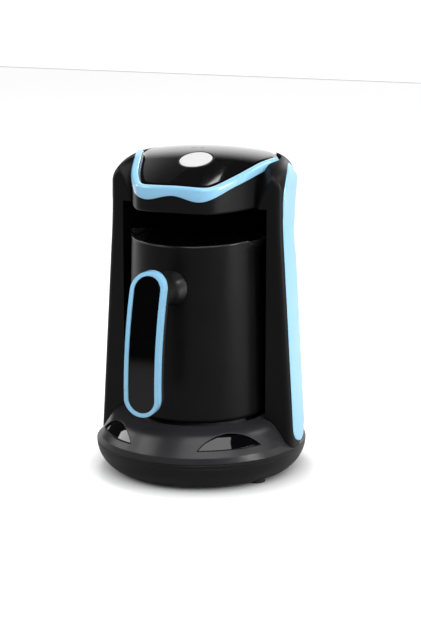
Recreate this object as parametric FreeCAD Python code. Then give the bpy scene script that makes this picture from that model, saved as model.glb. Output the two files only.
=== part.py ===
"""Electric turkish coffee maker: a lift-out jug on a hot plate, under a head with one button.

Millimetres, +Z up, front towards -Y. Every piece is drawn about the upright axis of the base,
with Z = 0 under the feet, and moved at the end so that the origin is under the middle of the box.
"""
import FreeCAD, Part
import math
import os

# Clearances and walls
WALL = 2.4                  # wall of the large mouldings
SEAM = 0.15                 # gap where two curved mouldings meet
PLAY = 0.3                  # gap around pieces that move
GLUE = 0.05                 # gap under a piece that is glued in
THREAD = 0.02               # gap around a screw in the hole that holds it

# Jug
SEAT_Z = 42.0               # top of the deck, round the jug
JUG_LIFT = 0.6              # the jug's bottom lies this much over the deck
JUG_HEIGHT = 119.0
JUG_AXIS_Y = -8.9
JUG_LOW_RADIUS = 47.0
JUG_TAPER = 2.8             # the rim's radius is this much smaller
JUG_BOTTOM = SEAT_Z + JUG_LIFT
JUG_RIM = JUG_BOTTOM + JUG_HEIGHT
JUG_RIM_RADIUS = JUG_LOW_RADIUS - JUG_TAPER
JUG_WALL = 1.1
JUG_HEEL = 3.5              # rounding of the jug's lower edge
SPOUT_REACH = 5.2           # how far a spout's tip stands out of the wall
SPOUT_DEPTH = 13.0          # height over which a spout grows
SPOUT_SPREAD = 24.0         # degrees from a spout's tip to where it leaves the wall
RIM_SWEEP = 2.2             # the spouts' tips stand this much over the rim's front

# Overall
POURING_GAP = 22.1          # between the jug's rim and the head
HEAD_HEIGHT = 35.4
BAY_GAP = 5.0               # between the jug and the bay that holds it
WING_THICKNESS = 10.6       # from the bay to the tower's outside, at the head
BASE_FLARE = 9.4            # the base's rim reaches this much further than the tower
BASE_NOSE = 4.0             # and this much more at the front
HEAD_BOTTOM = JUG_RIM + POURING_GAP
CROWN_TOP = HEAD_BOTTOM + HEAD_HEIGHT
BAY_HALF = JUG_LOW_RADIUS + BAY_GAP
TOWER_RADIUS = BAY_HALF + WING_THICKNESS
BASE_RADIUS = TOWER_RADIUS + BASE_FLARE
BASE_FRONT = BASE_RADIUS + BASE_NOSE

# Handle
GRIP_WIDTH = 24.0
GRIP_TOP = JUG_RIM - 9.6
GRIP_BOTTOM = JUG_BOTTOM + 16.4
GRIP_BOW = 205.0            # radius of the grip's front face, seen from the side
GRIP_BOW_Z = GRIP_BOTTOM + 16.0     # height where the grip reaches out furthest
GRIP_REACH = JUG_LOW_RADIUS - JUG_AXIS_Y + 48.0     # from the base's axis to the front face
GRIP_RING = 2.7             # width of the coloured ring
GRIP_RING_DEPTH = 5.4
GRIP_INLAY_DEPTH = 2.0
GRIP_INLAY_SUNK = 0.9
GRIP_CORE_DEPTH = 7.6
GRIP_ROUND = 3.0
BOSS_Z = GRIP_TOP - 17.5
BOSS_RADIUS = 8.6
BOSS_FLARE = 11.5           # radius where the boss meets the jug
STUD_RADIUS = 3.6
STUD_LENGTH = 9.0
HANDLE_SCREW_RADIUS = 2.0

# Base and deck
FOOT_HEIGHT = 2.2
FOOT_RADIUS = 5.8
FOOT_X = BASE_RADIUS - 21.3
FOOT_Y = 26.8
FOOT_SUNK = 1.4
BOSS_BASE = 5.0             # height of the tray's screw bosses
BOWL_BEND = 21.5            # radius of the base's rounded side
RIM_Z = 20.8
LIP_Z = 24.9                # lower edge of the deck's slope
LIP_RADIUS = BASE_RADIUS - 5.4
BROW_DROP = 3.6             # the rounded brow lies this much under the deck's top
BROW_Z = SEAT_Z - BROW_DROP
SEAT_RADIUS = JUG_LOW_RADIUS + 1.7
BROW_RADIUS = SEAT_RADIUS + 9.3
MOAT_DEPTH = 5.0
WINDOW_ANGLE = 43.0         # degrees from the front to a window's middle
WINDOW_HALF = 23.0          # half length of a window
WINDOW_LOW = LIP_Z + 4.1    # height of a window's straight edge
WINDOW_HIGH = BROW_Z - 0.1
WINDOW_SUNK = 1.1
WINDOW_THICKNESS = 1.1

# Hot plate
PLATE_RADIUS = JUG_LOW_RADIUS - 11.0
PLATE_THICKNESS = 1.6
PLATE_BODY = 7.0            # depth of the plate's cast body under its top
PLATE_GAP = 0.1             # between the plate and the jug that stands on it
SEAL_WIDTH = 2.0
SEAL_STEP = 5.0             # how far the plate's edge laps over the seal
HEATER_RADIUS = PLATE_RADIUS - 11.0
HEATER_TUBE = 3.6
HEATER_OPEN = 50.0          # degrees between the ends of its tube
HEATER_DROP = 1.0           # the tube's middle lies this much under the plate's body
HEATER_PIN = 8.0
THERMOSTAT_RADIUS = 9.0
SHIELD_DEPTH = 9.0

# Tower
WING_FACE_Y = -15.6
WING_SPLAY = 0.12           # how fast they turn back towards their outer edges
WING_ROUND = 4.5
ARCH_LOW = HEAD_BOTTOM - 1.7        # where the wings' faces end beside the head
ARCH_HIGH = HEAD_BOTTOM + 23.3      # and at their outer edges
ARCH_DEPTH = 24.0           # how far the shoulder falls back over the arch
SHOULDER = 14.0
CROWN_SLOPE = 18.0          # degrees
CROWN_BEND = 95.0
CROWN_CREST_Y = 20.0
CROWN_SIDE = 300.0          # radius of the crown, seen from the front
REAR_INSET = 1.2            # the rear cover lies this much inside the wings' skin
REAR_SPLIT_Y = -1.0

# Side strips
STRIP_FRONT = -10.0
STRIP_BACK = 8.0
STRIP_PROUD = 1.4
STRIP_BACKSET = 7.7         # the strips' skin lies this much behind the body's
STRIP_BOTTOM = 24.2

# Head
HEAD_FRONT = BAY_HALF
HEAD_HALF = BAY_HALF - 0.8
HEAD_SIDE_END = 12.0        # y where the head's sides end
OUTLINE_POINTS = 36
HEAD_FLOOR_UP = 2.0         # the floor lies this much over the skirt's edge
TRIM_HEIGHT = 7.4
TRIM_PROUD = 1.0
TRIM_DEPTH = 2.6
TRIM_CREST = 0.6            # the trim's ends stand this much over the lid
TRIM_ROUND = 3.4
TRIM_LOW = HEAD_BOTTOM + 7.6        # the lower edge at the front, without the wave
TRIM_RISE = 0.42            # climb of the trim towards the back
LID_WALL = 2.2
LID_ROUND = 7.0
LID_SKIRT = 12.0            # depth of the lid's side at the back
LID_LAP = 1.15              # the lid's sides end this much over the trim's lower edge
POST_RADIUS = 2.8           # posts that carry the two boards
HEAD_FLOOR = 1.8
HEAD_HEEL = 1.7             # rounding of the head's lower edge
LENS_RADIUS = 5.0

# Button
BUTTON_RADIUS = 11.2
BUTTON_Y = -11.1
BUTTON_PROUD = 0.5
BUTTON_TRAVEL = 1.5
BUTTON_THICKNESS = 2.6
STEM_RADIUS = 3.0
BEZEL_WALL = 0.9
BEZEL_DEPTH = 9.0
BOARD_DEPTH = 17.0
BOARD_LENGTH = 52.0
BOARD_WIDTH = 30.0
BOARD_THICKNESS = 1.6
SPRING_RADIUS = 5.6
SPRING_WIRE = 0.35
POWER_WIDTH = 40.0
POWER_HEIGHT = 62.0
POWER_LOW = 76.0
BOARD_STANDOFF = 4.0

# Cord inlet and screws
GLAND_Z = 35.0
GLAND_BORE = 3.2
GLAND_RADIUS = 5.4
GLAND_LENGTH = 10.0
SCREW_RADIUS = 1.5
SCREW_HEAD = 3.0
SCREW_HEAD_HEIGHT = 2.0


def vec(x, y, z):
    return FreeCAD.Vector(x, y, z)


UP = vec(0, 0, 1)


def line(a, b):
    return ("line", [(a, b)])


def arc(through, end):
    return ("arc", [through, end])


def curve(*points):
    return ("curve", list(points))


def wire(start, steps, place):
    """A wire from start through lines, arcs and curves, closed with a line where it ends elsewhere."""
    edges = []
    here = start
    for kind, points in steps:
        ends = [place(*point) for point in [here] + points]
        if kind == "line":
            edges.append(Part.LineSegment(ends[0], ends[1]).toShape())
        elif kind == "arc":
            edges.append(Part.Arc(ends[0], ends[1], ends[2]).toShape())
        else:
            spline = Part.BSplineCurve()
            spline.interpolate(ends)
            edges.append(spline.toShape())
        here = points[-1]
    if math.dist(here, start) > 0.001:
        edges.append(Part.LineSegment(place(*here), place(*start)).toShape())
    return Part.Wire(edges)


def rounded(points, place):
    """A closed wire through the points, where a point's third number rounds its corner."""
    corners = []
    for index, point in enumerate(points):
        here = place(point[0], point[1])
        if len(point) < 3:
            corners.append([here])
            continue
        after = points[(index + 1) % len(points)]
        arriving = (here - place(*points[index - 1][:2])).normalize()
        leaving = (place(*after[:2]) - here).normalize()
        half_turn = arriving.getAngle(leaving) / 2
        reach = point[2] * math.tan(half_turn)
        inward = (leaving - arriving).normalize() * (point[2] / math.cos(half_turn) - point[2])
        corners.append([here - arriving * reach, here + inward, here + leaving * reach])
    edges = []
    for index, corner in enumerate(corners):
        if len(corner) == 3:
            edges.append(Part.Arc(*corner).toShape())
        begin = corner[-1]
        end = corners[(index + 1) % len(corners)][0]
        if begin.distanceToPoint(end) > 0.001:
            edges.append(Part.LineSegment(begin, end).toShape())
    return Part.Wire(edges)


def turned(outline, axis_y=0.0):
    """The closed wire of an (r, z) outline, turned about the upright line at axis_y."""
    return Part.Face(outline).revolve(vec(0, axis_y, 0), UP, 360)


def section(axis_y=0.0):
    return lambda r, z: vec(r, axis_y, z)


def side_view(x):
    return lambda y, z: vec(x, y, z)


def cylinder(radius, low, high, x=0.0, y=0.0):
    return Part.makeCylinder(radius, high - low, vec(x, y, low))


def box(low, high):
    size = [b - a for a, b in zip(low, high)]
    return Part.makeBox(size[0], size[1], size[2], vec(*low))


def mirrored(shape):
    return shape.mirror(vec(0, 0, 0), vec(1, 0, 0))


def tidy(shape):
    """Merged faces where neighbours share a surface."""
    return shape.removeSplitter()


# The body's outer form

def crown(inset):
    """All that lies under the top surface, a slope that bends over to the back."""
    slope = math.radians(CROWN_SLOPE)
    bend = CROWN_BEND - inset
    centre = (CROWN_CREST_Y, CROWN_TOP - CROWN_BEND)
    reach = 2 * BASE_RADIUS
    tangent = (centre[0] - bend * math.sin(slope), centre[1] + bend * math.cos(slope))
    start = (tangent[0] - reach * math.cos(slope), tangent[1] - reach * math.sin(slope))
    end_turn = math.radians(50)
    middle = ((math.pi / 2 + slope) + (math.pi / 2 - end_turn)) / 2
    through = (centre[0] + bend * math.cos(middle), centre[1] + bend * math.sin(middle))
    end = (centre[0] + bend * math.sin(end_turn), centre[1] + bend * math.cos(end_turn))
    first = Part.LineSegment(vec(0, *start), vec(0, *tangent)).toShape()
    second = Part.Arc(vec(0, *tangent), vec(0, *through), vec(0, *end)).toShape()
    down = vec(0, math.sin(slope), -math.cos(slope))
    top = vec(0, *start)
    side = CROWN_SIDE - inset
    half = 1.3 * BASE_RADIUS
    drop = side - math.sqrt(side * side - half * half)
    left = top + down * drop + vec(-half, 0, 0)
    right = top + down * drop + vec(half, 0, 0)
    depth = down * (0.85 * bend - drop)
    profile = Part.Wire([
        Part.Arc(left, top, right).toShape(),
        Part.LineSegment(right, right + depth).toShape(),
        Part.LineSegment(right + depth, left + depth).toShape(),
        Part.LineSegment(left + depth, left).toShape(),
    ])
    cap = Part.Wire([first, second]).makePipeShell([profile], True, False)
    below = box((-half, -reach, -1), (half, reach, CROWN_TOP - 0.5 * CROWN_BEND))
    return cap.fuse(below)


def tower_flank(inset):
    """The turned sides, tapering up to the head and upright beside it."""
    low = RIM_Z - 1
    bend_start = HEAD_BOTTOM - 24
    bend_end = HEAD_BOTTOM + 4
    lean = (BASE_RADIUS - TOWER_RADIUS) / (HEAD_BOTTOM - 10 - RIM_Z)
    start_radius = TOWER_RADIUS + lean * (HEAD_BOTTOM - 10 - bend_start)
    middle = TOWER_RADIUS + lean * (HEAD_BOTTOM - 10 - bend_start) / 4
    outline = wire((0, low), [
        line(BASE_RADIUS + lean - inset, low),
        line(start_radius - inset, bend_start),
        arc((middle - inset, (bend_start + bend_end) / 2), (TOWER_RADIUS - inset, bend_end)),
        line(TOWER_RADIUS - inset, CROWN_TOP + 20),
        line(0, CROWN_TOP + 20),
    ], section())
    return turned(outline)


def body_form(inset):
    """Flanks and crown with the rounded shoulder between them."""
    form = tower_flank(inset).common(crown(inset))
    shoulder = [edge for edge in form.Edges if edge.BoundBox.ZMin > HEAD_BOTTOM and edge.Length > 30]
    return form.makeFillet(SHOULDER - inset, shoulder)


def wing_front(inset):
    """What lies in front of the wings: upright faces that end in an arch and fall back over it."""
    start = HEAD_HALF - 4
    width = TOWER_RADIUS - start
    halves = []
    for side in (-1, 1):
        sections = []
        for share in (-start / width, 0.0, 0.15, 0.4, 0.7, 1.0, 2.0):
            climb = math.sin(min(1.0, max(0.0, share)) * math.pi / 2) ** 0.8
            knee = ARCH_LOW + (ARCH_HIGH - ARCH_LOW) * climb - inset / 2
            top = CROWN_TOP - 4 - inset
            foot = WING_FACE_Y + WING_SPLAY * width * max(0.0, share) + inset
            back = foot + ARCH_DEPTH
            rise = max(3.0, top - knee)
            outline = wire((-2 * BASE_RADIUS, 0), [
                line(foot - 0.5, 0),
                line(foot, knee),
                curve((foot + 0.12 * ARCH_DEPTH, knee + 0.5 * rise),
                      (foot + 0.45 * ARCH_DEPTH, knee + 0.84 * rise), (back, knee + rise)),
                line(back, CROWN_TOP + 20),
                line(-2 * BASE_RADIUS, CROWN_TOP + 20),
            ], side_view(side * (start + share * width)))
            sections.append(outline)
        halves.append(Part.makeLoft(sections, True, False))
    return halves


def jug_bay(inset):
    """The open space that the jug stands in, and slides out of towards the front."""
    radius = BAY_HALF + inset
    round_part = cylinder(radius, 0, HEAD_BOTTOM + inset, 0, JUG_AXIS_Y)
    front = box((-radius, -2 * BASE_RADIUS, 0), (radius, JUG_AXIS_Y, HEAD_BOTTOM + inset))
    return round_part.fuse(front)


def head_plan(z, grow):
    """The head's outline from above: a blunt nose, bowed sides and a round back."""
    nose = -HEAD_FRONT
    half = HEAD_HALF
    end = HEAD_SIDE_END
    span = end - nose
    right = [(0.345 * half, nose + 0.006 * span), (0.50 * half, nose + 0.045 * span),
             (0.615 * half, nose + 0.15 * span), (0.775 * half, nose + 0.41 * span),
             (0.925 * half, nose + 0.76 * span), (half, end)]
    back = math.hypot(half, end)
    for degrees in (38, 64):
        turn = math.radians(degrees)
        right.append((back * math.cos(turn), back * math.sin(turn)))
    left = [(-x, y) for x, y in reversed(right)]
    around = [(0, nose)] + right + [(0, back)] + left
    spline = Part.BSplineCurve()
    spline.interpolate([vec(x, y, z) for x, y in around], PeriodicFlag=True)
    if grow:
        spline = grown(spline, grow)
    return Part.Wire([spline.toShape()])


def grown(spline, grow):
    """A closed outline moved outwards by grow all round."""
    points = []
    first = spline.FirstParameter
    span = spline.LastParameter - first
    for index in range(OUTLINE_POINTS):
        at = first + span * index / OUTLINE_POINTS
        along = spline.tangent(at)[0]
        points.append(spline.value(at) + vec(along.y, -along.x, 0).normalize() * grow)
    moved = Part.BSplineCurve()
    moved.interpolate(points, PeriodicFlag=True)
    return moved


def head_column(grow, low, high):
    return Part.Face(head_plan(low, grow)).extrude(vec(0, 0, high - low))


def is_wing_edge(edge):
    """True for the upright edges where the wings' faces meet the flanks."""
    bounds = edge.BoundBox
    outside = min(abs(bounds.XMin), abs(bounds.XMax)) > HEAD_HALF
    return outside and bounds.YMax < 0 and bounds.ZMax - bounds.ZMin > 15


def tower_form(inset):
    """Wings, shoulders and bay of the tower as one closed form, nested by inset."""
    form = body_form(inset)
    form = form.cut(wing_front(inset))
    outer = [edge for edge in form.Edges if is_wing_edge(edge)]
    form = form.makeFillet(WING_ROUND - 0.8 * inset, outer)
    form = form.cut(jug_bay(inset))
    form = form.cut(head_column(SEAM + inset, HEAD_BOTTOM - inset, CROWN_TOP + 20))
    return form


def rear_region(shift):
    """All that lies behind the seam under the side strips."""
    y = REAR_SPLIT_Y + shift
    knee = HEAD_BOTTOM - 14
    shape = wire((y, 0), [
        line(y, knee),
        curve((y + 3, knee + 13), (y + 11, knee + 24), (y + 23, knee + 34), (y + 38, CROWN_TOP + 20)),
        line(3 * BASE_RADIUS, CROWN_TOP + 20),
        line(3 * BASE_RADIUS, 0),
    ], side_view(-2 * BASE_RADIUS))
    return Part.Face(shape).extrude(vec(4 * BASE_RADIUS, 0, 0))


# Base

def stretch(shape):
    """Makes a turned base piece a little longer than it is wide."""
    depth = (BASE_FRONT + BASE_RADIUS + 1) / 2
    matrix = FreeCAD.Matrix()
    matrix.scale(1, depth / BASE_RADIUS, 1)
    longer = shape.transformGeometry(matrix)
    longer.translate(vec(0, depth - BASE_FRONT, 0))
    return longer


def bowl_form(inset):
    radius = BASE_RADIUS - inset
    bend = BOWL_BEND - inset
    centre = BASE_RADIUS - BOWL_BEND
    low = FOOT_HEIGHT + inset
    sweep = math.asin(min(1.0, (RIM_Z - low) / bend))
    middle = (centre + bend * math.cos(sweep / 2), RIM_Z - bend * math.sin(sweep / 2))
    bottom_radius = centre + bend * math.cos(sweep)
    outline = wire((0, low), [
        line(bottom_radius, low),
        arc(middle, (radius, RIM_Z)),
        line(0, RIM_Z),
    ], section())
    return stretch(turned(outline))


def deck_outline(inset):
    """The deck's slope, brow and seat as a closed (r, z) outline down to the rim."""
    step = 0.7 * inset
    return rounded([
        (0, RIM_Z - 5),
        (LIP_RADIUS - inset, RIM_Z - 5),
        (LIP_RADIUS - inset, LIP_Z - step),
        (BROW_RADIUS - step, BROW_Z - step, 14.0),
        (SEAT_RADIUS - step, SEAT_Z - inset),
        (0, SEAT_Z - inset),
    ], section(JUG_AXIS_Y))


def deck_form(inset):
    slope = turned(deck_outline(inset), JUG_AXIS_Y)
    rim = stretch(cylinder(BASE_RADIUS - inset, RIM_Z, RIM_Z + 0.01))
    skirt_low = [face.OuterWire for face in rim.Faces if abs(face.CenterOfMass.z - RIM_Z) < 0.001][0]
    lip = Part.Wire([Part.makeCircle(LIP_RADIUS - inset, vec(0, JUG_AXIS_Y, LIP_Z - 0.7 * inset))])
    skirt = Part.makeLoft([skirt_low, lip], True, True)
    return slope.fuse(skirt).cut(box((-200, -200, RIM_Z - 20), (200, 200, RIM_Z)))


def foot_places():
    return [(x, y) for x in (-FOOT_X, FOOT_X) for y in (-FOOT_Y, FOOT_Y)]


def base_screw_places():
    x = 0.80 * FOOT_X
    return [(x, -38.0), (-x, -38.0), (x, 36.0), (-x, 36.0)]


def base_tray():
    tray = bowl_form(0).cut(bowl_form(WALL))
    floor = FOOT_HEIGHT
    for x, y in foot_places():
        pad = cylinder(FOOT_RADIUS + WALL, floor, floor + FOOT_SUNK + WALL, x, y)
        tray = tray.fuse(pad.common(bowl_form(0)))
        tray = tray.cut(cylinder(FOOT_RADIUS + SEAM, 0, floor + FOOT_SUNK, x, y))
    for x, y in base_screw_places():
        tray = tray.fuse(cylinder(SCREW_HEAD + WALL, floor, floor + BOSS_BASE, x, y))
        tray = tray.cut(cylinder(SCREW_HEAD + PLAY, 0, floor + BOSS_BASE - WALL, x, y))
        tray = tray.cut(cylinder(SCREW_RADIUS + PLAY, 0, floor + BOSS_BASE + 1, x, y))
    return tray


def foot(x, y):
    pad = cylinder(FOOT_RADIUS, 0, FOOT_HEIGHT + FOOT_SUNK, x, y)
    edge = [edge for edge in pad.Edges if edge.BoundBox.ZMax < 0.01]
    return pad.makeFillet(0.8, edge)


def screw(at, direction, length):
    """A pan-headed screw whose head sits on the point at."""
    head = Part.makeCylinder(SCREW_HEAD, SCREW_HEAD_HEIGHT, at, direction * -1)
    crest = [edge for edge in head.Edges if abs(edge.CenterOfMass.distanceToPoint(at)) > 1.0]
    head = head.makeFillet(0.7, crest[:1])
    shank = Part.makeCylinder(SCREW_RADIUS, length, at, direction)
    return head.fuse(shank)


def base_screws():
    seat = FOOT_HEIGHT + BOSS_BASE - WALL
    return [screw(vec(x, y, seat), UP, 14.0) for x, y in base_screw_places()]


def window_cutter(side, grow):
    """A half-moon drawn on an upright plane that faces a window, pushed through the deck."""
    reach = 1.3 * LIP_RADIUS
    half = WINDOW_HALF + 1.5 * grow
    low = WINDOW_LOW - grow
    shape = wire((-half, low), [
        arc((0, WINDOW_HIGH + grow), (half, low)),
    ], lambda u, z: vec(u, -reach, z))
    moon = Part.Face(shape).extrude(vec(0, 0.5 * reach, 0))
    moon.rotate(vec(0, 0, 0), UP, side * WINDOW_ANGLE)
    moon.translate(vec(0, JUG_AXIS_Y, 0))
    return moon


def window(side):
    layer = deck_form(WINDOW_SUNK).cut(deck_form(WINDOW_SUNK + WINDOW_THICKNESS))
    return layer.common(window_cutter(side, -SEAM))


def seat_recess(grow):
    return cylinder(SEAT_RADIUS - 1.0 + grow, SEAT_Z - MOAT_DEPTH - grow, SEAT_Z + 1, 0, JUG_AXIS_Y)


def base_deck():
    deck = deck_form(0).cut(seat_recess(0))
    deck = deck.cut(deck_form(WALL).cut(seat_recess(WALL)))
    floor = WINDOW_SUNK + WINDOW_THICKNESS + GLUE
    for side in (-1, 1):
        deck = deck.cut(window_cutter(side, 0).cut(deck_form(floor)))
        backing = deck_form(floor).cut(deck_form(floor + WALL / 2))
        deck = deck.fuse(backing.common(window_cutter(side, WALL)))
    for x, y in base_screw_places():
        boss = cylinder(SCREW_HEAD + 1.2, FOOT_HEIGHT + BOSS_BASE, SEAT_Z, x, y)
        deck = deck.fuse(boss.common(deck_form(WALL / 2).fuse(cylinder(200, 0, RIM_Z))))
        deck = deck.cut(cylinder(SCREW_RADIUS + THREAD, 0, FOOT_HEIGHT + BOSS_BASE + 12, x, y))
    deck = deck.cut(cylinder(PLATE_RADIUS - SEAL_STEP, 20, SEAT_Z, 0, JUG_AXIS_Y))
    wires = box((-12, BAY_HALF + JUG_AXIS_Y + 2 * WALL, RIM_Z), (12, LIP_RADIUS + JUG_AXIS_Y - 2, SEAT_Z))
    return deck.cut(wires)


# Hot plate

def plate_seal():
    floor = SEAT_Z - MOAT_DEPTH
    plate_low = JUG_BOTTOM - PLATE_GAP - PLATE_THICKNESS
    rim = PLATE_RADIUS + SEAM
    ring = rounded([
        (PLATE_RADIUS - SEAL_STEP, floor),
        (rim + SEAL_WIDTH, floor),
        (rim + SEAL_WIDTH, plate_low + 1.0, 0.4),
        (rim, plate_low + 1.0, 0.4),
        (rim, plate_low),
        (PLATE_RADIUS - SEAL_STEP, plate_low),
    ], section(JUG_AXIS_Y))
    return turned(ring, JUG_AXIS_Y)


def heater_ends():
    """The two ends of the heater's tube, either side of the back."""
    turns = [math.radians(90 + side * HEATER_OPEN / 2) for side in (-1, 1)]
    return [vec(HEATER_RADIUS * math.cos(turn), JUG_AXIS_Y + HEATER_RADIUS * math.sin(turn),
                plate_bottom() - HEATER_DROP) for turn in turns]


def heater_path(grow):
    tube = HEATER_TUBE + grow
    centre = vec(0, JUG_AXIS_Y, plate_bottom() - HEATER_DROP)
    ring = Part.makeTorus(HEATER_RADIUS, tube, centre, UP, 0, 360, 360 - HEATER_OPEN)
    ring.rotate(centre, UP, 90 + HEATER_OPEN / 2)
    for end in heater_ends():
        ring = ring.fuse(Part.makeSphere(tube, end))
    return ring


def plate_bottom():
    return JUG_BOTTOM - PLATE_GAP - PLATE_BODY


def hot_plate():
    top = JUG_BOTTOM - PLATE_GAP
    outline = rounded([
        (0, plate_bottom()),
        (PLATE_RADIUS - SEAL_STEP - PLAY, plate_bottom()),
        (PLATE_RADIUS - SEAL_STEP - PLAY, top - PLATE_THICKNESS),
        (PLATE_RADIUS, top - PLATE_THICKNESS),
        (PLATE_RADIUS, top, 0.8),
        (0, top),
    ], section(JUG_AXIS_Y))
    return turned(outline, JUG_AXIS_Y).cut(heater_path(GLUE))


def heater_ring():
    ring = heater_path(0)
    for end in heater_ends():
        ring = ring.fuse(cylinder(HEATER_TUBE / 2, end.z - HEATER_PIN, end.z, end.x, end.y))
    return ring


def thermostat():
    top = plate_bottom()
    body = cylinder(THERMOSTAT_RADIUS, top - 5, top, 0, JUG_AXIS_Y)
    for side in (-1, 1):
        x = side * 0.5 * THERMOSTAT_RADIUS
        body = body.fuse(box((x - 2.4, JUG_AXIS_Y - 0.4, top - 9), (x + 2.4, JUG_AXIS_Y + 0.4, top - 5)))
    return body


def heat_shield():
    top = SEAT_Z - MOAT_DEPTH - WALL
    radius = PLATE_RADIUS - 1.0
    sheet = 0.8
    outer = rounded([
        (0, top - SHIELD_DEPTH),
        (radius, top - SHIELD_DEPTH, 3.0),
        (radius, top - sheet),
        (radius + 4, top - sheet),
        (radius + 4, top),
        (radius - sheet, top),
        (radius - sheet, top - SHIELD_DEPTH + sheet, 2.2),
        (0, top - SHIELD_DEPTH + sheet),
    ], section(JUG_AXIS_Y))
    pan = turned(outer, JUG_AXIS_Y)
    opening = box((-13, JUG_AXIS_Y + 12, 0), (13, JUG_AXIS_Y + radius - 4, SEAT_Z))
    return pan.cut(opening)


# Tower

def strip_outline(grow):
    """A side strip from the side: upright with a round foot, bent back to a point over the shoulder."""
    front = STRIP_FRONT - grow
    back = STRIP_BACK + grow
    foot = STRIP_BOTTOM - grow
    half = (back - front) / 2
    knee = HEAD_BOTTOM - 11
    return wire((front, foot + half), [
        arc((front + half, foot), (back, foot + half)),
        line(back, knee - 4),
        curve((back + 2.2, knee + 8), (back + 8, knee + 19), (back + 17, knee + 28 - grow)),
        line(back + 15, knee + 34 + grow),
        curve((front + 19, knee + 29 + grow), (front + 8, knee + 21 + grow),
              (front + 1.6, knee + 11), (front, knee)),
    ], side_view(HEAD_HALF / 2))


def strip_column(grow):
    return Part.Face(strip_outline(grow)).extrude(vec(2 * BASE_RADIUS, 0, 0))


def side_strip():
    skin = body_form(-STRIP_PROUD)
    skin.translate(vec(0, STRIP_BACKSET, 0))
    skin = skin.cut(body_form(REAR_INSET - GLUE))
    strip = skin.common(strip_column(0))
    return strip.cut(deck_form(-SEAM))


def cover_screw_places():
    """Where the rear cover's screws meet its inner face."""
    places = []
    for x, z in ((30.0, 62.0), (26.0, 150.0)):
        lean = (BASE_RADIUS - TOWER_RADIUS) / (HEAD_BOTTOM - 10 - RIM_Z)
        radius = BASE_RADIUS - lean * (z - RIM_Z) - REAR_INSET - WALL
        y = math.sqrt(radius * radius - x * x)
        places += [(x, y, z), (-x, y, z)]
    return places


def board_posts():
    """Posts on the back of the bay that carry the power board."""
    x = POWER_WIDTH / 2 - 3.5
    return [(side * x, z) for side in (-1, 1) for z in (POWER_LOW + 4, POWER_LOW + POWER_HEIGHT - 4)]


def power_board_y():
    return JUG_AXIS_Y + BAY_HALF + WALL + BOARD_STANDOFF


def tower_shell():
    shell = tower_form(0).cut(tower_form(WALL))
    behind = body_form(REAR_INSET + WALL + SEAM)
    shell = shell.cut(rear_region(0).cut(behind))
    posts = []
    back = vec(0, 1, 0)
    for x, y, z in cover_screw_places():
        posts.append(Part.makeCylinder(4.0, y - JUG_AXIS_Y, vec(x, JUG_AXIS_Y, z), back))
    for x, z in board_posts():
        reach = power_board_y() - JUG_AXIS_Y
        posts.append(Part.makeCylinder(POST_RADIUS, reach, vec(x, JUG_AXIS_Y, z), back))
    for post in posts:
        post = post.cut(jug_bay(WALL / 2))
        shell = shell.fuse(post.common(behind))
    for x, y, z in cover_screw_places():
        shell = shell.cut(Part.makeCylinder(SCREW_RADIUS + THREAD, 12.0, vec(x, y, z), vec(0, -1, 0)))
    for x, z in board_posts():
        start = vec(x, power_board_y(), z)
        shell = shell.cut(Part.makeCylinder(SCREW_RADIUS + THREAD, 6.0, start, vec(0, -1, 0)))
    for column in (strip_column(SEAM), mirrored(strip_column(SEAM))):
        shell = shell.cut(column.cut(body_form(REAR_INSET + SEAM)))
    shell = shell.cut(trim_space())
    shell = shell.cut(deck_form(-SEAM).fuse(cylinder(200, 0, RIM_Z + SEAM)))
    return tidy(shell)


def gland_y():
    lean = (BASE_RADIUS - TOWER_RADIUS) / (HEAD_BOTTOM - 10 - RIM_Z)
    return BASE_RADIUS - lean * (GLAND_Z - RIM_Z) - REAR_INSET


def rear_cover():
    cover = body_form(REAR_INSET).cut(body_form(REAR_INSET + WALL))
    cover = cover.common(rear_region(SEAM))
    for x, y, z in cover_screw_places():
        well = Part.makeCylinder(SCREW_HEAD + 2.0, 12.0, vec(x, y + SEAM, z), vec(0, 1, 0))
        cover = cover.fuse(well.common(body_form(REAR_INSET)))
        cover = cover.cut(Part.makeCylinder(SCREW_HEAD + PLAY, 14.0, vec(x, y + WALL, z), vec(0, 1, 0)))
        cover = cover.cut(Part.makeCylinder(SCREW_RADIUS + PLAY, 14.0, vec(x, y - 1, z), vec(0, 1, 0)))
    cover = cover.cut(head_column(SEAM, HEAD_BOTTOM, CROWN_TOP + 20))
    cover = cover.cut(deck_form(-SEAM).fuse(cylinder(200, 0, RIM_Z + SEAM)))
    hole = Part.makeCylinder(GLAND_RADIUS + SEAM, 30, vec(0, gland_y() - 15, GLAND_Z), vec(0, 1, 0))
    return cover.cut(hole)


def cord_gland():
    y = gland_y()
    back = vec(0, 1, 0)
    neck = Part.makeCylinder(GLAND_RADIUS, GLAND_LENGTH - 2, vec(0, y + 2 - GLAND_LENGTH, GLAND_Z), back)
    flange = Part.makeCylinder(GLAND_RADIUS + 2, 3, vec(0, y - 1, GLAND_Z), back)
    outer_rim = [edge for edge in flange.Edges if abs(edge.CenterOfMass.y - y - 2) < 0.01]
    flange = flange.makeFillet(0.8, outer_rim[:1]).cut(body_form(REAR_INSET - SEAM))
    collar = Part.makeCylinder(GLAND_RADIUS + 1.2, 2.5, vec(0, y + 2 - GLAND_LENGTH, GLAND_Z), back)
    bore = Part.makeCylinder(GLAND_BORE, GLAND_LENGTH + 2, vec(0, y + 1 - GLAND_LENGTH, GLAND_Z), back)
    return neck.fuse(flange).fuse(collar).cut(bore)


def cover_screws():
    return [screw(vec(x, y + WALL, z), vec(0, -1, 0), 12.0) for x, y, z in cover_screw_places()]


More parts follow.
